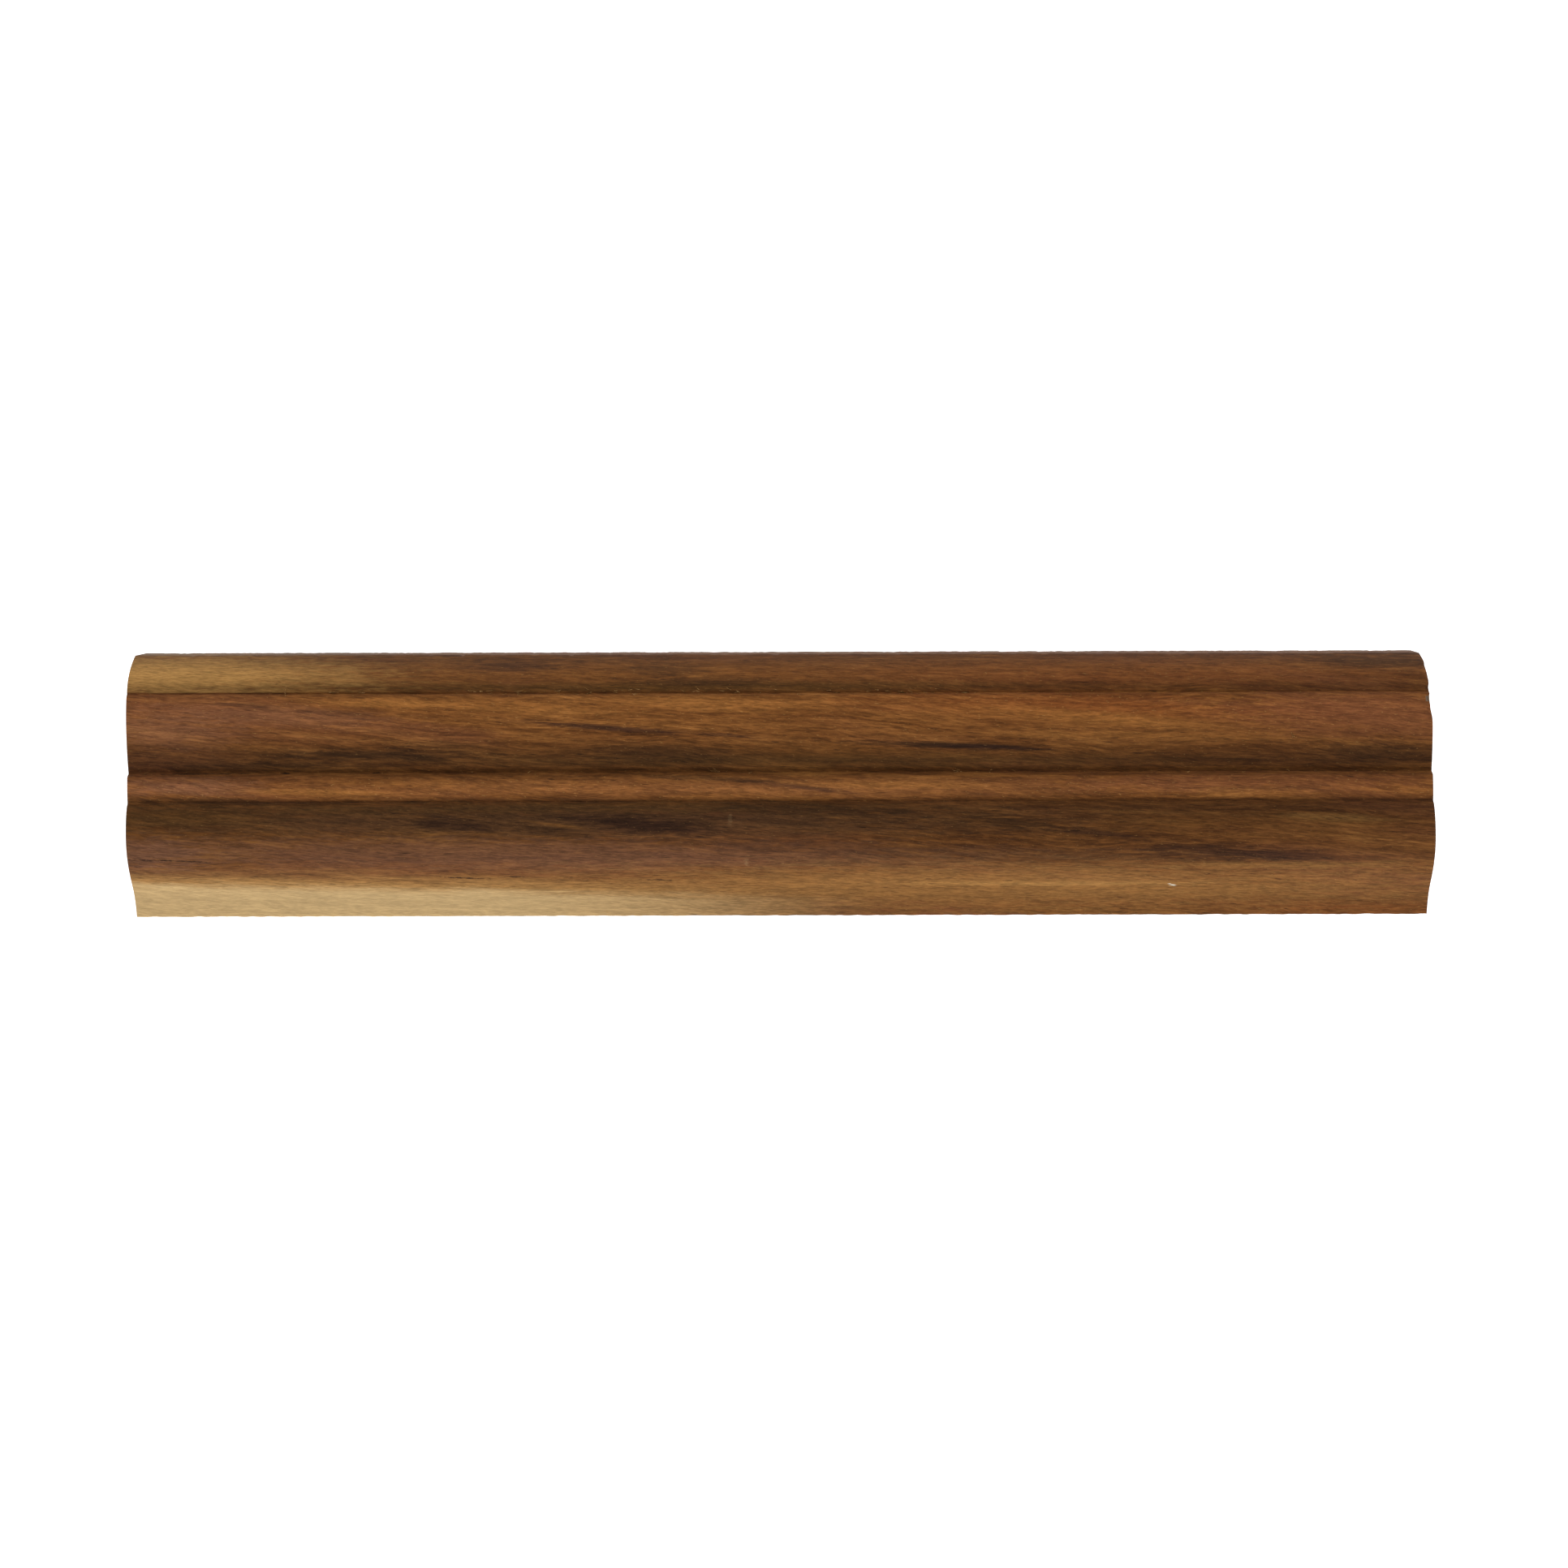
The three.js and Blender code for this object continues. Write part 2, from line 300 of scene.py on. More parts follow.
def srgb(red, green, blue):
    # a colour as a screen shows it, 0 to 255, turned to the linear values that shaders use
    def linear(c):
        c = c / 255
        return c / 12.92 if c <= 0.04045 else ((c + 0.055) / 1.055) ** 2.4
    return (linear(red), linear(green), linear(blue))


def newGroup(name, inputs, outputs):
    group = bpy.data.node_groups.new(name, "ShaderNodeTree")
    for socketName, kind, value in inputs:
        socket = group.interface.new_socket(name=socketName, in_out="INPUT",
                                            socket_type="NodeSocket" + kind)
        if value is not None:
            socket.default_value = value
    for socketName in outputs:
        group.interface.new_socket(name=socketName, in_out="OUTPUT", socket_type="NodeSocketFloat")
    return group, group.nodes.new("NodeGroupInput").outputs, group.nodes.new("NodeGroupOutput")


# effects that several materials share

def grainGroup():
    # timber's grain along X, from coordinates in millimetres, round a pith
    group, given, result = newGroup(
        "grain",
        [("Vector", "Vector", None), ("Slope", "Float", 0.0), ("Waver", "Float", 1.0),
         ("Pith Y", "Float", 10.0), ("Pith Z", "Float", -40.0), ("Coarseness", "Float", 1.0)],
        ["Rings", "Latewood", "Streaks", "Strands", "Fibres", "Felt", "Pores", "Flecks", "Hue"],
    )
    size = reckon(group, "DIVIDE", 1, given["Coarseness"])
    scaled = scaleVector(group, given["Vector"], size)
    place = put(group, "ShaderNodeSeparateXYZ", {"Vector": scaled}).outputs
    wander = noiseAt(group, stretch(group, scaled, (0.018, 0.05, 0.05)), 1, 2)
    ripple = noiseAt(group, stretch(group, scaled, (0.09, 0.3, 0.3), (4, 4, 4)), 1, 1)
    wander = reckon(group, "MULTIPLY_ADD", ripple, 0.08, wander)
    wander = reckon(group, "MULTIPLY", reckon(group, "SUBTRACT", wander, 0.54), given["Waver"])
    drift = reckon(group, "MULTIPLY_ADD", place[0], given["Slope"], reckon(group, "MULTIPLY", wander, 6))
    across = reckon(group, "ADD", place[1], drift)
    straightened = put(group, "ShaderNodeCombineXYZ", {0: place[0], 1: across, 2: place[2]}).outputs[0]
    fromPith = {0: reckon(group, "SUBTRACT", across, given["Pith Y"]),
                1: reckon(group, "SUBTRACT", place[2], given["Pith Z"])}
    fromPith = put(group, "ShaderNodeCombineXYZ", fromPith).outputs[0]
    radius = put(group, "ShaderNodeVectorMath", {0: fromPith}, operation="LENGTH").outputs["Value"]
    ringPlace = {0: reckon(group, "MULTIPLY", place[0], 0.004), 1: reckon(group, "MULTIPLY", radius, 0.42)}
    ringPlace = put(group, "ShaderNodeCombineXYZ", ringPlace).outputs[0]

    def lengthwise(along, across, shift, detail, roughness, distortion=0.0):
        stretched = stretch(group, straightened, (along, across, across), shift)
        return noiseAt(group, stretched, 1, detail, roughness, distortion)

    pores = span(group, lengthwise(0.33, 3.3, (21, 8, 5), 1, 0.5), 0.66, 0.74)
    poreFields = span(group, lengthwise(0.02, 0.3, (2, 6, 1), 1, 0.5), 0.4, 0.62)
    rings = noiseAt(group, ringPlace, 1, 3, 0.6)
    season = reckon(group, "MULTIPLY_ADD", radius, 0.38, reckon(group, "MULTIPLY", rings, 3))
    season = reckon(group, "FRACT", season)
    latewood = reckon(group, "MULTIPLY", span(group, season, 0.35, 0.94), span(group, season, 0.94, 1, 1, 0))
    found = {
        "Rings": rings,
        "Latewood": latewood,
        "Streaks": lengthwise(0.04, 0.6, (3, 1, 7), 4, 0.62, 0.15),
        "Strands": lengthwise(0.16, 1.5, (1, 14, 22), 3, 0.65, 0.1),
        "Fibres": lengthwise(0.45, 3.4, (9, 4, 2), 2, 0.65, 0.1),
        "Felt": lengthwise(0.75, 6.5, (6, 2, 12), 1, 0.6),
        "Pores": reckon(group, "MULTIPLY", pores, poreFields),
        "Flecks": span(group, lengthwise(1.3, 4.6, (5, 31, 17), 1, 0.6), 0.66, 0.78),
        "Hue": lengthwise(0.014, 0.12, (11, 13, 3), 2, 0.5),
    }
    for name, value in found.items():
        group.links.new(value, result.inputs[name])
    return group


def patchGroup():
    # a mask for one patch in a figure: long, soft and ragged, lying in the plane of X and Y
    group, given, result = newGroup(
        "patch",
        [("Vector", "Vector", None), ("Edge", "Float", 0.0), ("Middle", "Vector", None),
         ("Turn", "Vector", None), ("Reach", "Vector", None), ("Strength", "Float", 1.0)],
        ["Mask"],
    )
    inputs = {"Vector": given["Vector"], "Location": given["Middle"], "Rotation": given["Turn"],
              "Scale": given["Reach"]}
    place = put(group, "ShaderNodeMapping", inputs, vector_type="TEXTURE").outputs[0]
    near = put(group, "ShaderNodeTexGradient", {"Vector": place}, gradient_type="SPHERICAL")
    near = near.outputs["Fac"]
    mask = span(group, reckon(group, "SUBTRACT", near, given["Edge"]), 0.4, 0.9, 0.0, given["Strength"])
    group.links.new(mask, result.inputs["Mask"])
    return group


def wearGroup():
    # what handling leaves on a hard surface, from coordinates in millimetres: smudges, scratches and dust
    group, given, result = newGroup(
        "wear",
        [("Vector", "Vector", None), ("Smudge Size", "Float", 6.0), ("Scratch Share", "Float", 0.3)],
        ["Smudges", "Scratches", "Dust", "Grit"],
    )
    size = reckon(group, "DIVIDE", 1, given["Smudge Size"])
    broad = scaleVector(group, given["Vector"], size)
    smudges = span(group, noiseAt(group, broad, 1, 4, 0.6, 0.6), 0.35, 0.68)
    lines = noiseAt(group, stretch(group, given["Vector"], (0.25, 6, 1.5), (2, 7, 5)), 1, 1, 0.4, 0.8)
    otherLines = noiseAt(group, stretch(group, given["Vector"], (5, 0.3, 1.2), (8, 3, 1)), 1, 1, 0.4, 0.8)
    lines = reckon(group, "MAXIMUM", lines, otherLines)
    scratches = reckon(group, "MULTIPLY", span(group, lines, 0.7, 0.76), given["Scratch Share"])
    dust = span(group, noiseAt(group, given["Vector"], 0.9, 5, 0.7), 0.52, 0.72)
    grit = noiseAt(group, given["Vector"], 7, 2, 0.6)
    for name, value in (("Smudges", smudges), ("Scratches", scratches), ("Dust", dust), ("Grit", grit)):
        group.links.new(value, result.inputs[name])
    return group


grain = grainGroup()
patch = patchGroup()
wear = wearGroup()
print("shared effects ready")

# the moulded rail

lowRail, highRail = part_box("rail")
railShape = {  # millimetres; heights are above the rail's back
    "flare": 0.9,
    "backRound": 2.0,
    "upperEdge": 11.9,
    "lowerEdge": 13.3,
    "sawSkew": 0.01,
    "ovolo": {"width": 7.5, "top": 19.5, "shoulder": 18.9, "pull": 0.48},
    "quirk": {"width": 0.7, "floor": 19.42},
    "band": {"width": 14.85, "shoulder": 20.0, "crown": 21.6, "foot": 19.0, "pull": 0.4},
    "riser": {"width": 0.6},
    "bead": {"width": 4.65, "top": 20.2, "crown": 20.5},
    "hollow": {"width": 0.9, "floor": 19.9},
    "waveRise": {"width": 5.9, "foot": 20.7, "pull": 0.35},
    "waveFall": {"width": 9.9, "foot": 16.5, "shoulder": 18.9, "crestPull": 0.45, "footPull": 0.75},
    "toe": {"hollow": 14.3, "pull": 0.4},
    "arrisWear": 0.16,
    "slices": 400,
    "insertHole": {"radius": 5.15, "depth": 13.1},
    "dowelHole": {"radius": 4.15, "depth": 12.4},
    "upperSide": {"from": 24.7, "above": 1.5, "ragged": 0.09},  # how deep the saw tore it, and where
    "lowerSide": {"from": -25.4, "ragged": 0.1},
    "nicks": [(-114.3, 0.3), (-61.8, 0.4), (-40.5, 0.25), (-0.8, 0.35), (78.3, 0.25)],  # place and depth
    "nickReach": 0.5,
    "nicksFrom": 8,  # the height where they begin
    "wornCorner": {  # the right end's front arris
        "back": 0.55,
        "down": 0.5,
        "from": 11.5,
        "full": 15.0,
        "reach": 1.2,
        "lowest": 8,
    },
}


def railOutline():
    # the cross-section in millimetres, x across the face towards the upper edge, y up from the back
    shape = railShape
    thickness = (highRail.z - lowRail.z) / mm
    back = highRail.y / mm
    lower = lowRail.y / mm
    upper = back - shape["flare"]
    backRound = shape["backRound"]
    ovolo, quirk, band, bead = (shape[name] for name in ("ovolo", "quirk", "band", "bead"))
    rise, fall, toe, hollow = (shape[name] for name in ("waveRise", "waveFall", "toe", "hollow"))
    ovoloEnd = upper - ovolo["width"]
    bandStart = ovoloEnd - quirk["width"]
    bandEnd = bandStart - band["width"]
    beadStart = bandEnd - shape["riser"]["width"]
    beadEnd = beadStart - bead["width"]
    waveStart = beadEnd - hollow["width"]
    crest = waveStart - rise["width"]
    waveEnd = crest - fall["width"]
    points = [Vector((lower + backRound, 0))]
    drawTo(points, (back - backRound, 0))
    sweepTo(points, (back, 0), (back, backRound), 8)
    drawTo(points, (upper, shape["upperEdge"]))
    ovoloPull = (upper - ovolo["width"] * ovolo["pull"], ovolo["shoulder"])
    sweepTo(points, ovoloPull, (ovoloEnd, ovolo["top"]), 18)
    drawTo(points, (ovoloEnd - quirk["width"] / 2, quirk["floor"]))
    drawTo(points, (bandStart, band["shoulder"]))
    bandPull = (bandStart - band["width"] * band["pull"], band["crown"])
    sweepTo(points, bandPull, (bandEnd, band["foot"]), 24)
    drawTo(points, (beadStart, bead["top"]))
    sweepTo(points, (beadStart - bead["width"] / 2, bead["crown"]), (beadEnd, bead["top"]), 8)
    sweepTo(points, (beadEnd - hollow["width"] / 2, hollow["floor"]), (waveStart, rise["foot"]), 6)
    sweepTo(points, (waveStart - rise["width"] * rise["pull"], thickness), (crest, thickness), 12)
    crestHandle = (crest - fall["width"] * fall["crestPull"], thickness)
    footHandle = (crest - fall["width"] * fall["footPull"], fall["shoulder"])
    drawTo(points, (waveEnd, fall["foot"]), (crestHandle, footHandle), 20)
    toePull = (waveEnd - (waveEnd - lower) * toe["pull"], toe["hollow"])
    sweepTo(points, toePull, (lower, shape["lowerEdge"]), 10)
    drawTo(points, (lower, backRound))
    sweepTo(points, (lower, 0), (lower + backRound, 0), 8)
    return points[:-1]


def faceHeight(across):
    # how high the moulded face stands over the rail's back, at a place across it, in millimetres
    outline = [p for p in railOutline() if p.y >= railShape["upperEdge"] - 0.01]
    for upper, lower in zip(outline, outline[1:]):
        if lower.x <= across <= upper.x:
            return lower.y + (upper.y - lower.y) * (across - lower.x) / max(upper.x - lower.x, 1e-6)
    return outline[0].y


def wearRail(bm):
    # ragged sides, nicks along the upper one, and the worn front arris of the right end
    worn, upperSide, lowerSide = (railShape[name] for name in ("wornCorner", "upperSide", "lowerSide"))
    rightEnd = max(v.co.x for v in bm.verts)
    for v in bm.verts:
        x, y, z = (value / mm for value in v.co)
        height = z - lowRail.z / mm
        if y > upperSide["from"] and height < railShape["upperEdge"] + upperSide["above"]:
            tear = noise.noise((x * 0.25, 0.3, height * 0.08))
            tear += 1.2 * noise.noise((x * 3.1, 5.1, height * 0.1))
            depth = upperSide["ragged"] * max(0, 0.35 + tear)
            if height > railShape["nicksFrom"]:
                for place, deep in railShape["nicks"]:
                    depth += deep * max(0, 1 - abs(x - place) / railShape["nickReach"])
            v.co.y -= depth * mm
        if y < lowerSide["from"]:
            v.co.y += lowerSide["ragged"] * mm * max(0, 0.4 + noise.noise((x * 0.7, 9.3, height * 0.1)))
        fromEnd = (rightEnd - v.co.x - railShape["sawSkew"] * (v.co.y - lowRail.y)) / mm
        endNear = max(0, 1 - fromEnd / worn["reach"])
        if height > worn["lowest"] and y > worn["from"] and endNear > 0.4:
            share = min(1, (y - worn["from"]) / (worn["full"] - worn["from"]))
            share *= 0.75 + 0.5 * noise.noise((y * 0.8, 2.2, 0))
            v.co.x -= worn["back"] * mm * share * endNear
            v.co.z -= worn["down"] * mm * share * endNear * min(1, (height - worn["lowest"]) / 4)


def makeRail():
    skew = railShape["sawSkew"]
    length = highRail.x - lowRail.x - skew * (highRail.y - lowRail.y)
    bm = bmesh.new()
    ring = [bm.verts.new((-length / 2, p.x * mm, lowRail.z + p.y * mm)) for p in railOutline()]
    for here, there in zip(ring, ring[1:] + ring[:1]):
        bm.edges.new((here, there))
    end = bmesh.ops.contextual_create(bm, geom=bm.edges[:])["faces"]
    pulled = bmesh.ops.extrude_face_region(bm, geom=end)
    bmesh.ops.translate(bm, vec=(length, 0, 0), verts=vertsOf(pulled))
    bmesh.ops.recalc_face_normals(bm, faces=bm.faces[:])

    def runsAlong(edge):
        return abs(edge.verts[0].co.x - edge.verts[1].co.x) > length / 2

    arrises = [e for e in bm.edges if runsAlong(e) and e.calc_face_angle() > math.radians(14)]
    roundOff(bm, arrises, railShape["arrisWear"] * mm, 2, clamp_overlap=True)
    along = [e for e in bm.edges if runsAlong(e)]
    bmesh.ops.subdivide_edges(bm, edges=along, cuts=railShape["slices"], use_grid_fill=True)
    lean = Matrix.Identity(4)
    lean[0][1] = -skew
    bmesh.ops.transform(bm, matrix=lean, verts=bm.verts[:])
    wearRail(bm)
    cutter = bmesh.new()

    def bore(name, hole):
        middle = seatOf(name)[2]
        addPlug(cutter, middle, lowRail.z - mm, lowRail.z + hole["depth"] * mm, hole["radius"] * mm)

    for hand in ("left", "right"):
        bore(hand + "_rail_insert", railShape["insertHole"])
        bore(hand + "_inner_dowel", railShape["dowelHole"])
        bore(hand + "_outer_dowel", railShape["dowelHole"])
    cutAway(bm, cutter)
    bm.normal_update()
    for face in bm.faces:
        seat = face.calc_center_median()
        nearEnd = abs(seat.x) >= length / 2 - 2 * mm
        face.material_index = int(nearEnd and abs(face.normal.x) > 0.5 and seat.z > lowRail.z)
    return bm


railFigure = {  # millimetres along and across the face, from its middle
    "grain": {"Slope": 0.07, "Waver": 1.0, "Pith Y": 30.0, "Pith Z": -60.0},
    "endGrain": {"Slope": 0.0, "Waver": 0.3, "Pith Y": 30.0, "Pith Z": -60.0, "Coarseness": 0.8},
    "heart": [srgb(86, 50, 22), srgb(110, 67, 31), srgb(128, 81, 39), srgb(154, 103, 53)],
    "rosy": srgb(120, 72, 48),
    "fleck": srgb(190, 142, 84),
    "pore": srgb(38, 23, 14),
    "sapwood": srgb(214, 181, 128),
    "sapBrink": srgb(178, 134, 78),
    "quirk": 17.35,
    "reach": 52.0,  # what the painted shade spans across the face
    "sapEdge": -21.9,
    "sapFall": -0.022,
    "grey": srgb(70, 59, 47),
    "endGrey": srgb(148, 138, 124),
    "tints": {
        "plum": srgb(58, 36, 27),
        "dark": srgb(58, 38, 22),
        # the hue of the painted shade, laid along the shaded bands beside the arrises
        "shadeOlive": srgb(116, 80, 38),
        "straw": srgb(194, 146, 82),
        "honey": srgb(166, 110, 54),
        "golden": srgb(158, 111, 58),
        "rusty": srgb(132, 72, 34),
        "brick": srgb(120, 72, 44),
        "amber": srgb(130, 80, 34),
        "pink": srgb(136, 92, 66),
        "umber": srgb(110, 78, 50),
        "russet": srgb(134, 86, 50),
        "pore": srgb(26, 17, 12),
        "chalk": srgb(226, 214, 190),
        "tan": srgb(200, 160, 112),
    },
    "paintedShade": [  # painted shade: place across the face and the share of light kept, darker under and beside each arris
        (-24.6, 0.66), (-23.0, 0.6), (-20.9, 0.61), (-18.7, 0.63), (-16.5, 0.58), (-14.3, 0.5),
        (-12.1, 0.54), (-10.0, 0.49), (-7.8, 0.41), (-5.9, 0.39), (-4.7, 0.4), (-3.7, 0.45), (-2.8, 0.83),
        (-1.6, 1.0),
        (-0.2, 0.86), (1.2, 0.65), (2.0, 0.46), (2.8, 0.48), (4.0, 0.32), (6.0, 0.45), (8.4, 0.71),
        (10.7, 0.82), (13.0, 0.88), (15.2, 1.0), (16.5, 0.88), (17.1, 0.72), (17.6, 0.5), (18.4, 0.48),
        (19.4, 0.65), (21.0, 0.7), (22.6, 0.58), (24.5, 0.44),
    ],
    "patches": [  # centre, length and width, rise along the rail, tint and strength
        ((-118, 10), (34, 9), -0.03, "pink", 0.4),
        ((-121, -13.5), (30, 8), 0, "pink", 0.8),
        ((-100, 13.2), (60, 5), -0.05, "pink", 0.35),
        ((-40, -7.6), (230, 8), 0, "umber", 0.6),
        ((-50, -13.5), (210, 7), -0.01, "pink", 0.6),
        ((32, -13.2), (130, 3.6), -0.03, "plum", 0.35),
        ((40, -9.0), (110, 3.4), -0.06, "plum", 0.2),
        ((108, -24.6), (60, 3.2), 0, "rusty", 0.5),
        ((62, -23.4), (120, 2.6), 0, "rusty", 0.4),
        ((0, -1.0), (250, 4.4), 0, "russet", 0.45),
        ((40, -20.5), (230, 12), -0.005, "golden", 0.7),
        ((98, -16.0), (62, 1.8), 0.01, "golden", 0.6),
        ((52, -19.6), (70, 1.3), 0, "straw", 0.3),
        ((60, 14.5), (110, 7), -0.03, "rusty", 0.4),
        ((108, 12.5), (60, 11), -0.02, "brick", 0.6),
        ((92, 0), (96, 4.6), 0, "brick", 0.5),
        ((-114, -0.6), (34, 4.6), 0, "pink", 0.5),
        # painted shade's olive hue over the shaded band above the riser; the olive rows below paint it on
        # the wave's rise
        ((5, 4.4), (150, 4.0), 0, "shadeOlive", 0.5),
        ((20, 5.9), (180, 3.4), 0, "amber", 0.4),
        ((-115, -6.5), (44, 5.0), 0, "shadeOlive", 0.45),
        ((-40, -4.8), (170, 2.6), 0, "shadeOlive", 0.5),
        ((-33, 10.4), (40, 1.6), -0.075, "plum", 0.8),
        ((-10, 8.9), (16, 1.0), -0.05, "plum", 0.55),
        ((33.5, 7.0), (44, 1.7), -0.04, "dark", 0.9),
        ((40, 6.7), (26, 1.0), -0.035, "plum", 0.7),
        ((3.5, -0.9), (26, 1.4), -0.11, "plum", 0.75),
        ((-14, 0.7), (34, 1.2), -0.05, "dark", 0.55),
        ((92, -1.2), (38, 1.6), 0, "dark", 0.3),
        ((-108, -3.4), (46, 2.2), -0.03, "dark", 0.5),
        ((-100, 3.2), (54, 2.4), 0, "dark", 0.5),
        ((-64, 6.8), (26, 3.0), -0.07, "dark", 0.35),
        ((-74, 15.2), (34, 2.0), -0.03, "honey", 0.45),
        ((70, 8.6), (70, 2.2), -0.02, "honey", 0.35),
        ((4, 1.5), (16, 1.2), -0.02, "honey", 0.5),
        ((38, 1.4), (16, 1.2), -0.02, "honey", 0.45),
        ((-102, 15.2), (18, 1.1), -0.05, "plum", 0.5),
        ((-84, 13.4), (26, 1.6), -0.09, "plum", 0.35),
        ((-78, 5.4), (46, 3.0), -0.01, "dark", 0.7),
        ((-22, 5.6), (42, 4.2), -0.02, "dark", 0.55),
        ((-62, -7.9), (22, 3.4), -0.1, "plum", 0.75),
        ((-44, -9.2), (16, 2.4), -0.1, "dark", 0.5),
        ((-27, -7.9), (38, 4.2), -0.09, "plum", 0.8),
        ((8, -5.4), (44, 3.0), -0.05, "dark", 0.45),
        ((44, -7.8), (20, 3.0), -0.1, "dark", 0.6),
        ((60, -9.8), (24, 1.8), -0.1, "plum", 0.6),
        ((86, -13.6), (48, 3.6), -0.05, "plum", 0.6),
        ((100, -8.2), (50, 3.0), -0.02, "honey", 0.3),
        ((95, -13.9), (22, 2.2), -0.02, "plum", 0.4),
        ((114, 5.5), (28, 5.5), -0.02, "dark", 0.5),
        ((82, 15.1), (34, 1.6), -0.03, "plum", 0.3),
        ((-88.7, -1.7), (38, 1.5), -0.02, "honey", 0.4),
        ((-52, 14.6), (66, 3.2), -0.055, "honey", 0.25),
        ((-12, 15.0), (50, 4.0), -0.03, "honey", 0.35),
        ((62, 12.0), (64, 3.4), -0.07, "honey", 0.45),
        ((2, 3.0), (20, 2.4), -0.1, "honey", 0.4),
        ((106, -6.9), (26, 2.0), -0.04, "straw", 0.3),
        ((76, -8.0), (18, 2.4), -0.06, "honey", 0.35),
        ((-43, -8.0), (15, 0.8), -0.12, "honey", 0.5),
        ((23, -0.6), (48, 1.8), -0.01, "honey", 0.35),
    ],
    "ovoloPatches": [  # the same for the ovolo, where the quirk stops them
        ((60, 21.0), (150, 8), 0, "rusty", 0.45),
        ((60, 22.5), (150, 6), 0, "amber", 0.4),
        # painted shade's olive hue over the shaded band above the quirk
        ((-25, 18.4), (170, 2.6), 0, "shadeOlive", 0.6),
        ((-30, 21.5), (130, 7.0), 0, "amber", 0.6),
        ((-52, 22.4), (24, 2.8), -0.02, "plum", 0.55),
        ((-22, 21.6), (20, 3.6), -0.02, "dark", 0.45),
        ((116, 23.0), (34, 3.8), -0.02, "dark", 0.6),
        ((-15, 19.2), (36, 2.6), -0.01, "dark", 0.5),
        ((-112, 21.2), (84, 11.0), -0.03, "straw", 0.7),
        ((-121, 20.0), (44, 10.0), 0, "straw", 0.65),
    ],
    "marks": [  # open pores, fine cracks, chips and a painted shadow line along the riser, given as the patches are
        ((-116, -14.9), (18, 0.3), -0.03, "pore", 0.85),
        ((-61, -18.2), (10, 0.32), -0.05, "pore", 0.85),
        ((-51, -18.0), (5, 0.28), 0, "pore", 0.8),
        ((-23.5, -18.7), (7, 0.28), -0.04, "pore", 0.7),
        # painted shadow: dashes of the pore tint along the riser's crease, 1.9 across
        ((-94.6, 1.9), (2.6, 0.36), 0, "pore", 0.8),
        ((-77.6, 1.9), (2.2, 0.36), 0, "pore", 0.8),
        ((-112, 1.9), (22, 0.3), 0, "pore", 0.6),
        ((75.6, -19.9), (1.8, 0.5), -0.1, "chalk", 1.0),
        ((-9.6, -7.0), (1.0, 2.2), 0, "tan", 0.22),
        ((-6.5, -15.2), (1.0, 2.0), 0, "tan", 0.22),
    ],
}


def stain(tree, colour, flat, edge, rows, limit=None):
    # lays a list of patches over a colour, inside a limit if there is one
    for (x, y), (length, width), rise, tint, strength in rows:
        values = {"Edge": edge, "Middle": (x, y, 0), "Turn": (0, 0, math.atan(rise)),
                  "Reach": (length, width, 1), "Strength": strength}
        mask = useGroup(tree, patch, flat, values)["Mask"]
        colour = cover(tree, colour, mask, railFigure["tints"][tint], limit)
    return colour


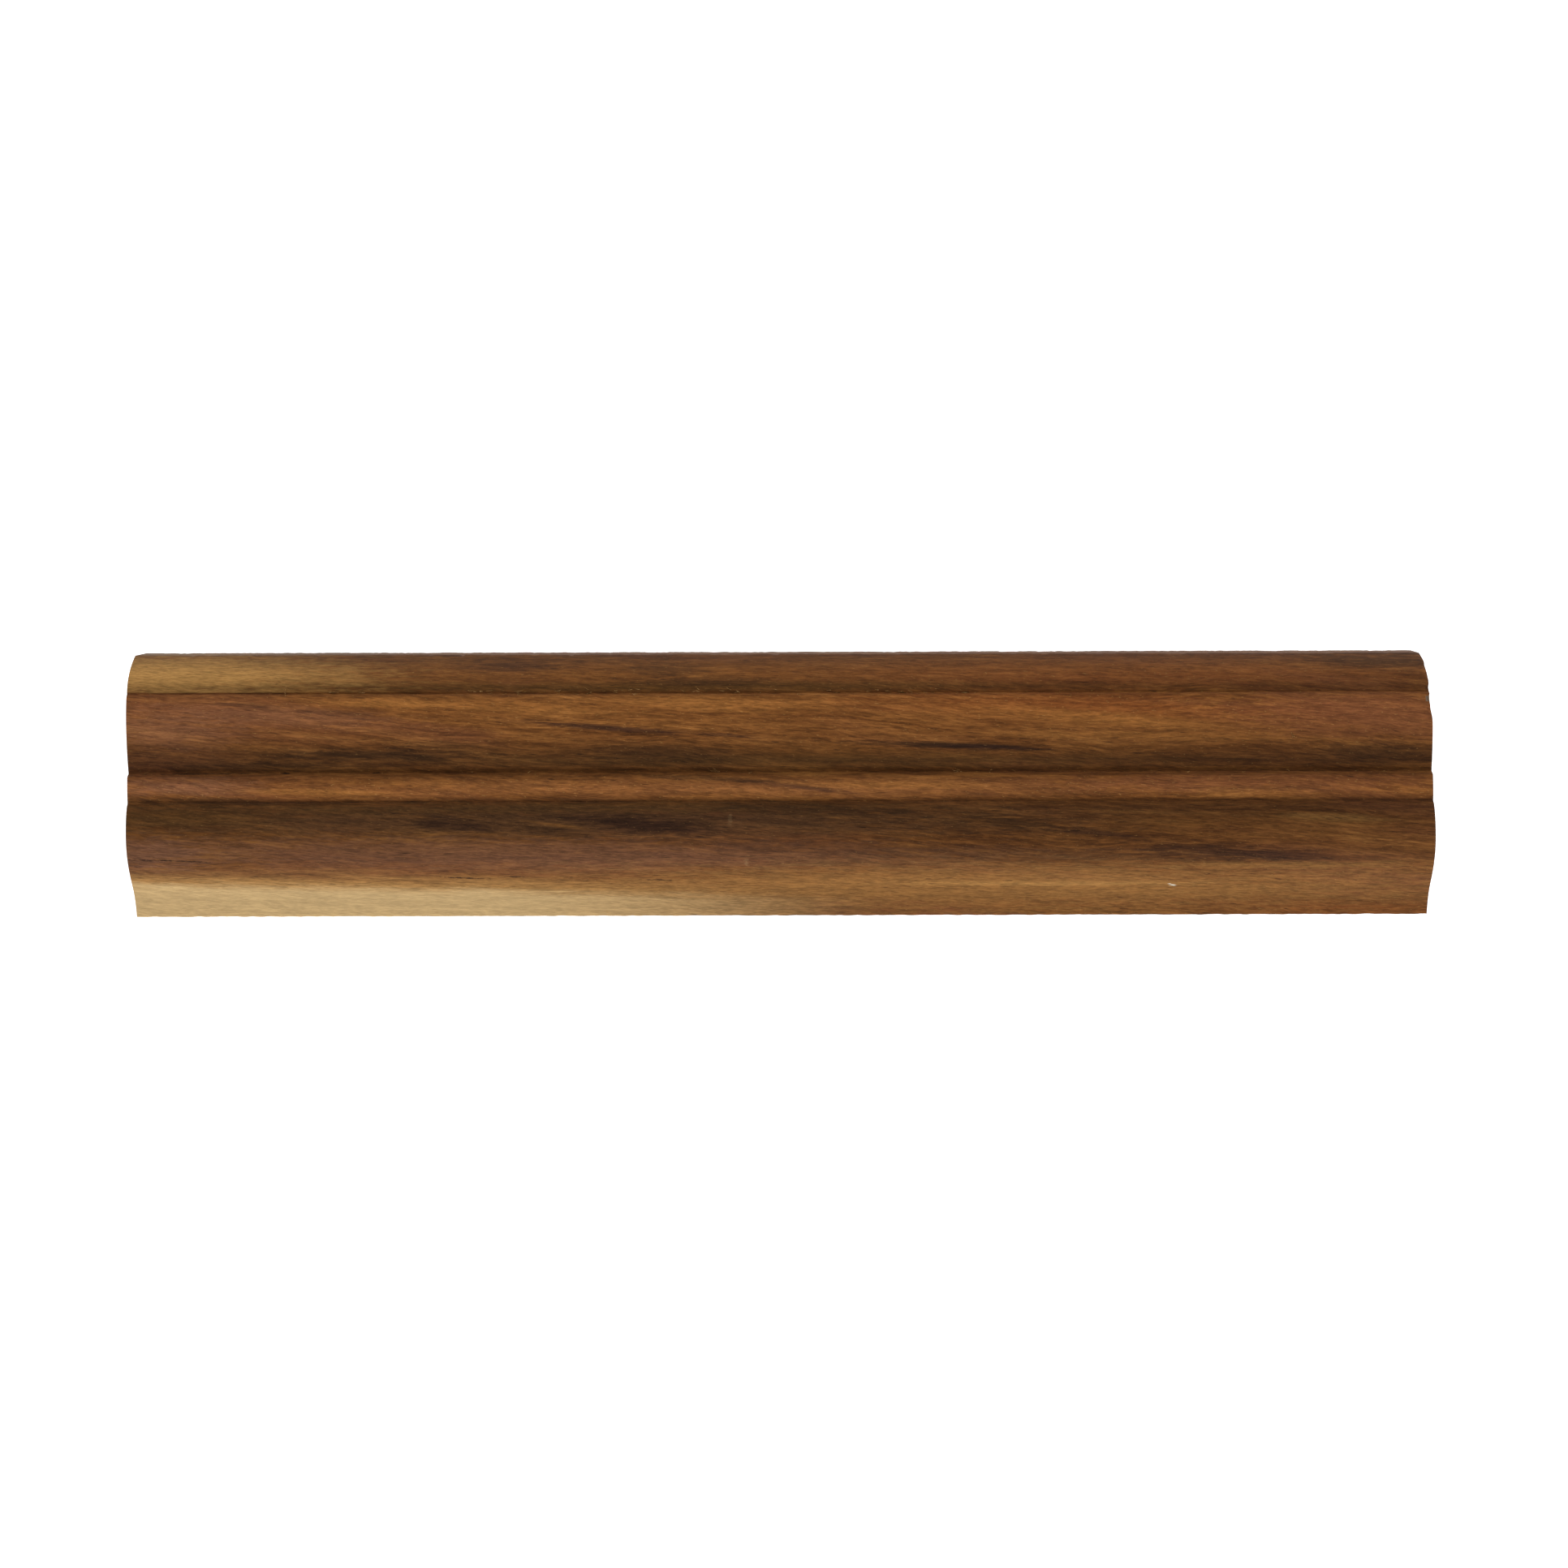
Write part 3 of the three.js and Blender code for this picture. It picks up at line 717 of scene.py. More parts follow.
def railMaterial():
    look = railFigure
    material, tree, shader = newMaterial("railWood", 0.66, 0, 0.06)
    place = millimetres(tree)
    lines = useGroup(tree, grain, place, look["grain"])
    along, across, height = put(tree, "ShaderNodeSeparateXYZ", {"Vector": place}).outputs
    tone = weighted(tree, (lines["Streaks"], 0.5), (lines["Rings"], 0.25), (lines["Strands"], 0.25))
    tone = span(tree, tone, 0.3, 0.72)
    colour = rampColour(tree, tone, [(i / 3, c) for i, c in enumerate(look["heart"])])
    colour = cover(tree, colour, span(tree, lines["Hue"], 0.48, 0.66, 0, 0.35), look["rosy"])
    swayed = reckon(tree, "ADD", across, weighted(tree, (lines["Hue"], 0.9), start=-0.45))
    flat = put(tree, "ShaderNodeCombineXYZ", {0: along, 1: swayed}).outputs[0]
    edge = noiseAt(tree, stretch(tree, place, (0.2, 1.5, 1.5)), 1, 4, 0.7)
    edge = weighted(tree, (lines["Strands"], 0.45), (edge, 0.8), start=-0.62)
    colour = stain(tree, colour, flat, edge, look["patches"])
    aboveQuirk = span(tree, across, look["quirk"] - 0.1, look["quirk"] + 0.25)
    colour = stain(tree, colour, flat, edge, look["ovoloPatches"], aboveQuirk)
    sapLine = reckon(tree, "MULTIPLY_ADD", along, look["sapFall"], look["sapEdge"])
    sapLine = reckon(tree, "MULTIPLY_ADD", reckon(tree, "SUBTRACT", lines["Streaks"], 0.5), 3, sapLine)
    intoSap = reckon(tree, "SUBTRACT", sapLine, across)
    sapFade = span(tree, along, -62, 24, 1, 0)
    brink = reckon(tree, "MULTIPLY", span(tree, intoSap, -3.6, 0.2, 0, 0.8), sapFade)
    colour = cover(tree, colour, brink, look["sapBrink"])
    sap = reckon(tree, "MULTIPLY", span(tree, intoSap, -0.9, 1.3, 0, 0.95), sapFade)
    colour = cover(tree, colour, sap, look["sapwood"])
    fineEdge = noiseAt(tree, stretch(tree, place, (1.1, 2.5, 2.5)), 1, 2, 0.6)
    fineEdge = weighted(tree, (lines["Fibres"], 0.3), (fineEdge, 1.3), start=-0.8)
    colour = stain(tree, colour, flat, fineEdge, look["marks"])
    grainShade = weighted(tree, (lines["Fibres"], 0.36), (lines["Strands"], 0.38), (lines["Felt"], 0.26))
    grainShade = span(tree, grainShade, 0.36, 0.64, 0.66, 1.34)
    colour = blendColour(tree, "MULTIPLY", span(tree, sap, 0, 1, 1, 0.5), colour, greyOf(tree, grainShade))
    colour = cover(tree, colour, lines["Flecks"], look["fleck"], 0.34)
    colour = cover(tree, colour, lines["Pores"], look["pore"], span(tree, sap, 0, 1, 0.6, 0.2))
    reach = look["reach"]
    # painted shade: the face darkened across its width as the list above gives, and the sides and back
    # darkened evenly off the face
    shade = rampColour(tree, reckon(tree, "MULTIPLY_ADD", across, 1 / reach, 0.5),
                       [(y / reach + 0.5, (share,) * 3) for y, share in look["paintedShade"]])
    onFace = span(tree, height, lowRail.z / mm + 9.6, lowRail.z / mm + 11.2)
    shade = blendColour(tree, "MIX", onFace, (0.62, 0.62, 0.62, 1), shade)
    colour = blendColour(tree, "MULTIPLY", 1.0, colour, shade)
    weather = span(tree, lines["Strands"], 0.35, 0.6, 0.2, 0.6)
    weather = reckon(tree, "MULTIPLY", span(tree, across, 24.6, 25.1), weather)
    colour = cover(tree, colour, weather, look["grey"], span(tree, along, -100, -50, 1, 0.35))
    bumps = weighted(tree, (lines["Felt"], 0.4), start=lines["Fibres"])
    wire(tree, shader, colour, bumps, 0.14, 0.4)
    return material


def endGrainMaterial():
    # a sawn end: rings edge on, open pores, saw marks and a grey weathered skin
    look = railFigure
    material, tree, shader = newMaterial("railEndGrain", 0.85, 0, 0.05)
    place = millimetres(tree)
    lines = useGroup(tree, grain, place, look["endGrain"])
    colour = rampColour(tree, span(tree, lines["Rings"], 0.34, 0.66), [
        (0, srgb(64, 44, 28)), (0.45, srgb(88, 62, 40)), (1, srgb(112, 84, 56))])
    colour = shadeBy(tree, colour, lines["Latewood"], 0, 1, 1.12, 0.62)
    pores = put(tree, "ShaderNodeTexVoronoi", {"Vector": place, "Scale": 2.6}).outputs["Distance"]
    colour = cover(tree, colour, span(tree, pores, 0.1, 0.24, 0.6, 0), look["pore"])
    sawn = {"Vector": stretch(tree, place, (1, 0.06, 1)), "Scale": 0.55, "Distortion": 1.6, "Detail": 2.0,
            "Detail Scale": 1.2}
    sawn = put(tree, "ShaderNodeTexWave", sawn, bands_direction="Z").outputs["Fac"]
    colour = shadeBy(tree, colour, sawn, 0, 1, 0.82, 1.08)
    skin = useGroup(tree, wear, place, {"Smudge Size": 13.0})
    colour = cover(tree, colour, span(tree, skin["Smudges"], 0, 1, 0.1, 0.32), look["endGrey"])
    wire(tree, shader, colour, sawn, 0.15, 0.5)
    return material


railWood = railMaterial()
railEndGrain = endGrainMaterial()
rail = finishPiece("rail_timber", makeRail(), [railWood, railEndGrain], ["rail"])
print("rail made:", len(rail.data.polygons), "faces")

# loose fibres that the moulding cutter tore up

tornFibres = {  # millimetres
    "thickness": 0.085,
    "taper": 0.72,  # what each step keeps of the one before
    "sunk": 0.02,
    "steps": 4,
    "seed": 7,
    "quirk": {"from": -64, "to": 42, "count": 90, "across": (16.8, 17.9)},
    "edges": {"from": -122, "to": 122, "count": 26, "across": (1.6, 2.3)},
    "tufts": [  # place along and across, number of fibres, length, heading and its spread in degrees
        (-94.7, 16.9, 3, 2.1, 98, 5), (-12.0, 2.0, 9, 2.2, 155, 22), (34.5, 2.1, 4, 1.3, 170, 20),
        (36.0, 17.2, 6, 1.8, 185, 25), (98.0, 8.5, 2, 1.2, 120, 20), (-50.5, 17.4, 5, 1.2, 10, 20),
        (24.0, 17.3, 6, 1.5, 175, 25), (-86.0, 17.4, 5, 1.4, 5, 12), (-80.0, 17.5, 4, 1.2, 175, 14),
    ],
}


def growFibre(bm, x, y, heading, length, lift, curl):
    # one hair of wood: a fine three-sided shoot that rises from the face, curls and tapers off
    start = Vector((x * mm, y * mm, lowRail.z + (faceHeight(y) - tornFibres["sunk"]) * mm))
    thickness = tornFibres["thickness"] * mm
    taper = (tornFibres["taper"],) * 3
    facing = Matrix.Rotation(heading, 4, "Z") @ Matrix.Rotation(math.pi / 2, 4, "Y")
    made = bmesh.ops.create_circle(bm, cap_ends=True, segments=3, radius=thickness,
                                   matrix=Matrix.Translation(start) @ facing)
    face = made["verts"][0].link_faces[0]
    step = length * mm / tornFibres["steps"]
    for i in range(tornFibres["steps"]):
        climb = lift * (1 - i / tornFibres["steps"])
        shift = Vector((math.cos(heading), math.sin(heading), climb)) * step
        face = pullFace(bm, face, shift, taper, start + shift)
        start = start + shift
        heading += curl


def makeFibres():
    rng = random.Random(tornFibres["seed"])
    bm = bmesh.new()
    quirk = tornFibres["quirk"]
    for i in range(quirk["count"]):
        x = rng.uniform(quirk["from"], quirk["to"])
        heading = rng.gauss(0, 0.28) + (math.pi if rng.random() < 0.5 else 0)
        growFibre(bm, x, rng.uniform(*quirk["across"]), heading, rng.uniform(0.4, 1.4),
                  rng.uniform(0.05, 0.2), rng.gauss(0, 0.1))
    edges = tornFibres["edges"]
    for i in range(edges["count"]):
        x = rng.uniform(edges["from"], edges["to"])
        growFibre(bm, x, rng.uniform(*edges["across"]), rng.gauss(0, 0.4), rng.uniform(0.4, 1.2), 0.2,
                  rng.gauss(0, 0.2))
    for x, y, count, length, heading, spread in tornFibres["tufts"]:
        for i in range(count):
            growFibre(bm, x + rng.uniform(-0.5, 0.5) * (spread > 5), y + rng.uniform(-0.2, 0.2),
                      math.radians(heading + rng.uniform(-spread, spread)), length * rng.uniform(0.6, 1.1),
                      rng.uniform(0.15, 0.35), rng.gauss(0, 0.1))
    return bm


def fibreMaterial():
    material, tree, shader = newMaterial("tornFibre", 0.8, 0, 0.05)
    place = millimetres(tree)
    lines = useGroup(tree, grain, place, {"Coarseness": 0.4})
    colour = rampColour(tree, span(tree, lines["Strands"], 0.35, 0.65), [
        (0, srgb(78, 55, 29)), (0.6, srgb(118, 84, 48)), (1, srgb(166, 128, 82))])
    wire(tree, shader, colour, lines["Fibres"], 0.02, 0.3)
    return material


finishPiece("rail_torn_fibres", makeFibres(), [fibreMaterial()])
print("torn fibres made")

# the chocks

chockShape = {  # millimetres
    "cornerRadius": 8.0,
    "cornerSteps": 10,
    "endHollow": 6.5,
    "sideHollow": 3.5,
    "footBand": 5.0,
    "headBand": 4.0,
    "hollowSteps": 26,
    "edgeRound": 0.7,
    "counterbore": {"radius": 6.8, "depth": 12.0, "lip": 0.5},
    "shankHole": 3.4,
    "dowelHole": {"radius": 4.15, "depth": 15.4},
    "insertHole": {"radius": 5.15, "depth": 13.1},
    "holeOffset": 15.5,
}


def hollowDepth(height, whole, depth):
    # how deep a hollow of the given depth is at a height in a chock, as the arc of a circle
    shape = chockShape
    chord = whole - shape["footBand"] - shape["headBand"]
    fromMiddle = abs(height - shape["footBand"] - chord / 2)
    if fromMiddle >= chord / 2:
        return 0
    radius = chord * chord / (8 * depth) + depth / 2
    return math.sqrt(radius * radius - fromMiddle * fromMiddle) - (radius - depth)


def makeChock(hand):
    shape = chockShape
    low, high, middle = seatOf(hand + "_chock")
    length, width, whole = (high - low) / mm
    bm = bmesh.new()
    face = roundedBlank(bm, length * mm, width * mm, shape["cornerRadius"] * mm, shape["cornerSteps"],
                        (middle, 0, low.z))
    chord = whole - shape["footBand"] - shape["headBand"]
    steps = shape["hollowSteps"]
    heights = [shape["footBand"] + chord * i / steps for i in range(steps + 1)] + [whole]
    here, halfLength, halfWidth = 0, length / 2, width / 2
    for height in heights:
        nextLength = length / 2 - hollowDepth(height, whole, shape["endHollow"])
        nextWidth = width / 2 - hollowDepth(height, whole, shape["sideHollow"])
        narrowing = (nextLength / halfLength, nextWidth / halfWidth, 1)
        face = pullFace(bm, face, (0, 0, (height - here) * mm), narrowing, (middle, 0, 0))
        here, halfLength, halfWidth = height, nextLength, nextWidth
    bmesh.ops.recalc_face_normals(bm, faces=bm.faces[:])
    roundRims(bm, shape["edgeRound"] * mm, 4)
    cutter = bmesh.new()
    bore, dowelHole, insertHole = (shape[name] for name in ("counterbore", "dowelHole", "insertHole"))
    addPlug(cutter, middle, low.z - mm, low.z + bore["depth"] * mm, bore["radius"] * mm)
    cutAway(bm, cutter)
    cutter = bmesh.new()
    addPlug(cutter, middle, low.z + mm, high.z + mm, shape["shankHole"] * mm, segments=40)
    addPlug(cutter, middle, low.z - bore["lip"] * mm, low.z + bore["lip"] * mm,
            (bore["radius"] + 2 * bore["lip"]) * mm, bore["radius"] * mm * 0.99)
    for side in (-1, 1):
        x = middle + side * shape["holeOffset"] * mm
        addPlug(cutter, x, high.z - dowelHole["depth"] * mm, high.z + mm, dowelHole["radius"] * mm)
        addPlug(cutter, x, low.z - mm, low.z + insertHole["depth"] * mm, insertHole["radius"] * mm)
    cutAway(bm, cutter)
    return bm


chockFigure = {  # millimetres for the grain
    "grain": {"Slope": -0.04, "Waver": 1.6, "Pith Y": 26.0, "Pith Z": -22.0, "Coarseness": 1.15},
    "heart": [srgb(56, 34, 18), srgb(82, 51, 27), srgb(104, 67, 36), srgb(132, 90, 51)],
    "rosy": srgb(92, 55, 38),
    "fleck": srgb(160, 116, 70),
    "pore": srgb(34, 20, 12),
    # the colour of the painted shade where the chock meets the pad and the rail
    "contactShade": srgb(44, 32, 23),
}


def chockMaterial():
    look = chockFigure
    material, tree, shader = newMaterial("chockWood", 0.5, 0, 0.22)
    place = millimetres(tree)
    lines = useGroup(tree, grain, place, look["grain"])
    height = put(tree, "ShaderNodeSeparateXYZ", {"Vector": place}).outputs[2]
    tone = weighted(tree, (lines["Streaks"], 0.25), (lines["Rings"], 0.5), (lines["Strands"], 0.25))
    tone = span(tree, tone, 0.36, 0.64)
    colour = rampColour(tree, tone, [(i / 3, c) for i, c in enumerate(look["heart"])])
    colour = cover(tree, colour, span(tree, lines["Hue"], 0.44, 0.64, 0, 0.6), look["rosy"])
    colour = shadeBy(tree, colour, lines["Latewood"], 0, 1, 1.06, 0.76)
    grainShade = weighted(tree, (lines["Felt"], 0.4), (lines["Fibres"], 0.6))
    colour = shadeBy(tree, colour, grainShade, 0.36, 0.64, 0.74, 1.22)
    colour = cover(tree, colour, lines["Flecks"], look["fleck"], 0.35)
    colour = cover(tree, colour, lines["Pores"], look["pore"], 0.7)
    marks = useGroup(tree, wear, place, {"Smudge Size": 9.0})
    # painted shade near the foot and the head, where the chock meets the pad and the rail, broken up by
    # smudges
    nearFoot = span(tree, height, 3, 9, 0.55, 0)
    nearEnds = reckon(tree, "MAXIMUM", nearFoot, span(tree, height, 36, 40, 0, 0.5))
    colour = cover(tree, colour, nearEnds, look["contactShade"], span(tree, marks["Smudges"], 0, 1, 0.35, 1))
    rough = span(tree, marks["Smudges"], 0, 1, 0.42, 0.62)
    wire(tree, shader, colour, lines["Fibres"], 0.1, 0.35, rough)
    return material


chockWood = chockMaterial()
for hand in ("left", "right"):
    finishPiece(hand + "_turned_chock", makeChock(hand), [chockWood], [hand + "_chock"])
print("chocks made")

# the bedding pads

padShape = {  # millimetres
    "cornerRadius": 7.0,
    "cornerSteps": 10,
    "edgeRound": 0.35,
    "accessHole": 7.2,
    "screwHole": 3.6,
    "holeOffset": 15.5,
    "firstGroove": 2.2,  # in from the edge
    "grooveGap": 1.3,
    "grooveWidth": 0.9,
    "grooveDepth": 0.45,
}


def makePad(hand):
    shape = padShape
    low, high, middle = seatOf(hand + "_bedding_pad")
    bm = bmesh.new()
    face = roundedBlank(bm, high.x - low.x, high.y - low.y, shape["cornerRadius"] * mm, shape["cornerSteps"],
                        (middle, 0, high.z))
    face = pullFace(bm, face, (0, 0, low.z - high.z))
    bmesh.ops.recalc_face_normals(bm, faces=bm.faces[:])
    roundRims(bm, shape["edgeRound"] * mm, 3)
    under = min(bm.faces, key=lambda f: f.calc_center_median().z)
    for gap in (shape["firstGroove"], shape["grooveGap"]):  # two seal grooves follow the edge underneath
        bmesh.ops.inset_region(bm, faces=[under], thickness=gap * mm, use_even_offset=True)
        groove = bmesh.ops.inset_region(bm, faces=[under], thickness=shape["grooveWidth"] * mm,
                                        use_even_offset=True)
        sunk = extrude(bm, groove["faces"])
        bmesh.ops.translate(bm, vec=(0, 0, shape["grooveDepth"] * mm), verts=vertsOf(sunk))
    cutter = bmesh.new()
    addPlug(cutter, middle, low.z - mm, high.z + mm, shape["accessHole"] * mm)
    for side in (-1, 1):
        x = middle + side * shape["holeOffset"] * mm
        addPlug(cutter, x, low.z - mm, high.z + mm, shape["screwHole"] * mm)
    cutAway(bm, cutter)
    return bm


def rubberMaterial():
    material, tree, shader = newMaterial("rubber", 0.8, 0, 0.4)
    place = millimetres(tree)
    marks = useGroup(tree, wear, place, {"Smudge Size": 11.0, "Scratch Share": 0.25})
    colour = rampColour(tree, marks["Smudges"], [(0, srgb(24, 25, 27)), (1, srgb(40, 40, 41))])
    colour = cover(tree, colour, marks["Dust"], srgb(120, 114, 104), 0.3)
    colour = cover(tree, colour, marks["Scratches"], srgb(74, 73, 71))
    wire(tree, shader, colour, marks["Grit"], 0.06, 0.4, span(tree, marks["Dust"], 0, 1, 0.68, 0.92))
    return material


rubber = rubberMaterial()
for hand in ("left", "right"):
    finishPiece(hand + "_rubber_pad", makePad(hand), [rubber], [hand + "_bedding_pad"])
print("pads made")

# the metal parts

def threadDip(x, y, z, pitch, crestShare, rootShare):
    # 0 at a thread's crest and 1 at its root, from a place measured from the screw's axis, in millimetres
    turnShare = (z / pitch - math.atan2(y, x) / (2 * math.pi)) % 1
    away = abs(turnShare - 0.5) * 2
    return min(1, max(0, (away - crestShare) / (1 - crestShare - rootShare)))


def cutThread(bm, middle, low, high, crest, root, pitch, chosen, crestShare=0.15, rootShare=0.2):
    # moves the chosen verts between two heights on to a thread
    for v in bm.verts:
        x, y = (v.co.x - middle) / mm, v.co.y / mm
        radius = math.hypot(x, y)
        if low < v.co.z < high and chosen(radius):
            fade = min(1, (v.co.z - low) / (0.5 * mm), (high - v.co.z) / (0.5 * mm))
            dip = threadDip(x, y, v.co.z / mm, pitch, crestShare, rootShare)
            wanted = radius + (crest + (root - crest) * dip - radius) * fade
            v.co.x = middle + x * wanted / radius * mm
            v.co.y = y * wanted / radius * mm


screwShape = {  # millimetres, M6 x 40 socket-head cap screw
    "headRadius": 5.0,
    "headHeight": 6.0,
    "rimRound": 0.4,
    "knurls": 36,
    "knurlDepth": 0.22,
    "socketFlats": 5.0,
    "socketDepth": 3.0,
    "socketMouth": {"depth": 0.45, "wider": 0.42, "narrower": 0.33},
    "shankRadius": 3.0,
    "rootRadius": 2.45,
    "pitch": 1.0,
    "threaded": 24.0,
    "rowsPerTurn": 6,
    "tipChamfer": 0.6,
}


def makeScrew(hand):
    shape = screwShape
    low, high, middle = seatOf(hand + "_clamp_screw")
    whole = (high.z - low.z) / mm
    head, top, rim, shank = (shape[name] for name in ("headHeight", "headRadius", "rimRound", "shankRadius"))
    profile = [(0, 0), (top - 2.5 * rim, 0), (top - rim, 0.3 * rim), (top - 0.3 * rim, rim), (top, 2 * rim),
               (top, head / 2), (top, head - rim), (top - rim / 2, head - 0.1), (top - rim, head),
               (shank + 0.4, head), (shank, head + 0.4)]
    threadStart = whole - shape["threaded"]
    rows = int(shape["threaded"] * shape["rowsPerTurn"] / shape["pitch"])
    profile += [(shank, threadStart + shape["threaded"] * i / rows) for i in range(rows - 3)]
    tip = shank - shape["tipChamfer"]
    profile += [(tip, whole), (0, whole)]
    bm = bmesh.new()
    turn(bm, profile, middle, low.z, 2 * shape["knurls"])
    for v in bm.verts:
        x, y, height = (v.co.x - middle) / mm, v.co.y / mm, (v.co.z - low.z) / mm
        radius = math.hypot(x, y)
        if radius > top - 0.1 and 1.5 * rim < height < head - 0.5 * rim:
            groove = round((math.atan2(y, x) / math.pi) * shape["knurls"]) % 2
            v.co.x = middle + x * (1 - groove * shape["knurlDepth"] / radius) * mm
            v.co.y = y * (1 - groove * shape["knurlDepth"] / radius) * mm
    cutThread(bm, middle, low.z + threadStart * mm, high.z - 0.2 * mm, shank - 0.02, shape["rootRadius"],
              shape["pitch"], lambda radius: radius > tip + 0.2)
    cutter = bmesh.new()
    corner = shape["socketFlats"] / math.sqrt(3)
    mouth = shape["socketMouth"]
    addPlug(cutter, middle, low.z - mm, low.z + shape["socketDepth"] * mm, corner * mm, segments=6)
    cutAway(bm, cutter)
    cutter = bmesh.new()
    addPlug(cutter, middle, low.z - 0.3 * mm, low.z + mouth["depth"] * mm, (corner + mouth["wider"]) * mm,
            (corner - mouth["narrower"]) * mm)
    cutAway(bm, cutter)
    return bm


def steelMaterial():
    material, tree, shader = newMaterial("stainlessSteel", 0.3, 1.0)
    place = millimetres(tree)
    marks = useGroup(tree, wear, place, {"Smudge Size": 4.0, "Scratch Share": 0.35})
    colour = rampColour(tree, marks["Smudges"], [(0, srgb(196, 198, 200)), (1, srgb(168, 168, 166))])
    colour = cover(tree, colour, marks["Dust"], srgb(128, 98, 70), 0.22)
    rough = span(tree, marks["Smudges"], 0, 1, 0.2, 0.42)
    rough = weighted(tree, (marks["Scratches"], 0.3), start=rough)
    turned = noiseAt(tree, stretch(tree, place, (0.3, 0.3, 9)), 1, 2, 0.6)
    wire(tree, shader, colour, turned, 0.02, 0.3, rough)
    return material


washerShape = {"hole": 3.2, "edgeRound": 0.25, "steps": 72}  # millimetres
springShape = {"hole": 3.1, "gap": 12.0, "rise": 0.2, "edgeRound": 0.15, "steps": 60}  # gap in degrees


def ringSection(bm, inner, outer, low, high, rounding):
    # a rectangle with rounded corners that stands on the +X side of the axis
    corners = [(inner, low), (outer, low), (outer, high), (inner, high)]
    face = bm.faces.new([bm.verts.new((x, 0, z)) for x, z in corners])
    roundOff(bm, face.verts[:], rounding, 3, "VERTICES")
    return bm.faces[:][0]


def makeWasher(hand):
    low, high, middle = seatOf(hand + "_clamp_washer")
    bm = bmesh.new()
    ringSection(bm, middle + washerShape["hole"] * mm, high.x, low.z, high.z, washerShape["edgeRound"] * mm)
    bmesh.ops.delete(bm, geom=bm.faces[:], context="FACES_ONLY")
    bmesh.ops.spin(bm, geom=bm.verts[:] + bm.edges[:], cent=(middle, 0, 0), axis=(0, 0, 1),
                   angle=2 * math.pi, steps=washerShape["steps"], use_merge=True)
    return bm


def makeSpringWasher(hand):
    low, high, middle = seatOf(hand + "_spring_washer")
    rise = springShape["rise"] * mm
    bm = bmesh.new()
    ringSection(bm, middle + springShape["hole"] * mm, middle + (high.y - low.y) / 2, low.z, high.z - rise,
                springShape["edgeRound"] * mm)
    gap = math.radians(springShape["gap"])
    bmesh.ops.rotate(bm, cent=(middle, 0, 0), matrix=Matrix.Rotation(gap / 2, 3, "Z"), verts=bm.verts[:])
    steps = springShape["steps"]
    bmesh.ops.spin(bm, geom=bm.faces[:] + bm.edges[:] + bm.verts[:], cent=(middle, 0, 0), axis=(0, 0, 1),
                   angle=2 * math.pi - gap, steps=steps, dvec=(0, 0, rise / steps))
    openEdges = [e for e in bm.edges if e.is_boundary]
    if openEdges:
        bmesh.ops.holes_fill(bm, edges=openEdges)
    return bm


steel = steelMaterial()
for hand in ("left", "right"):
    finishPiece(hand + "_cap_screw", makeScrew(hand), [steel], [hand + "_clamp_screw"])
    finishPiece(hand + "_split_washer", makeSpringWasher(hand), [steel],
                [hand + "_spring_washer"])
    finishPiece(hand + "_flat_washer", makeWasher(hand), [steel],
                [hand + "_clamp_washer"])
print("screws and washers made")

insertShape = {  # millimetres, M6 brass insert for timber
    "bodyRadius": 4.3,
    "ridgeRadius": 5.0,
    "ridgePitch": 3.1,
    "flange": 1.2,
    "crestRadius": 2.6,
    "boreRadius": 3.06,
    "pitch": 1.0,
    "rowsPerTurn": 5,
    "outerRows": 44,
    "mouthRound": 0.3,
    "slotWidth": 1.6,
    "slotDepth": 1.8,
    "steps": 40,
}


def makeInsert(name):
    # a threaded sleeve, mouth down: a slotted flange, a coarse thread for the timber and an M6 thread inside
    shape = insertShape
    low, high, middle = seatOf(name)
    whole = (high.z - low.z) / mm
    body, ridge, bore = shape["bodyRadius"], shape["ridgeRadius"], shape["boreRadius"]
    mouth, flange, outerRows = shape["mouthRound"], shape["flange"], shape["outerRows"]
    innerRows = int(whole * shape["rowsPerTurn"] / shape["pitch"])
    profile = [(bore + mouth, 0), (ridge - mouth, 0), (ridge, mouth), (ridge, flange - 0.1)]
    profile += [(ridge - 0.1, flange)]
    profile += [(body, flange + 0.05 + (whole - flange - 0.4) * i / outerRows) for i in range(outerRows + 1)]
    profile += [(body - mouth, whole), (bore + mouth, whole)]
    profile += [(bore, whole - mouth - (whole - 2 * mouth) * i / innerRows) for i in range(innerRows + 1)]
    bm = bmesh.new()
    turn(bm, profile, middle, low.z, shape["steps"])
    cutThread(bm, middle, low.z + (flange + 0.2) * mm, high.z - 0.6 * mm, ridge - 0.05, body,
              shape["ridgePitch"], lambda radius: abs(radius - body) < 0.05, 0.05, 0.5)
    cutThread(bm, middle, low.z + mouth * mm, high.z - mouth * mm, bore, shape["crestRadius"],
              shape["pitch"], lambda radius: abs(radius - bore) < 0.02)
    cutter = bmesh.new()
    slot = Matrix.Diagonal((3 * ridge * mm, shape["slotWidth"] * mm, 2 * shape["slotDepth"] * mm, 1))
    bmesh.ops.create_cube(cutter, size=1, matrix=Matrix.Translation((middle, 0, low.z)) @ slot)
    cutAway(bm, cutter)
    return bm


def brassMaterial():
    material, tree, shader = newMaterial("brass", 0.35, 1.0)
    place = millimetres(tree)
    marks = useGroup(tree, wear, place, {"Smudge Size": 3.0, "Scratch Share": 0.3})
    colour = rampColour(tree, marks["Smudges"], [
        (0, srgb(206, 170, 92)), (0.6, srgb(184, 144, 70)), (1, srgb(150, 112, 58))])
    colour = cover(tree, colour, marks["Dust"], srgb(104, 82, 50), 0.4)
    rough = span(tree, marks["Smudges"], 0, 1, 0.24, 0.5)
    rough = weighted(tree, (marks["Scratches"], 0.25), start=rough)
    turned = noiseAt(tree, stretch(tree, place, (0.4, 0.4, 8)), 1, 2, 0.6)
    wire(tree, shader, colour, turned, 0.02, 0.3, rough)
    return material


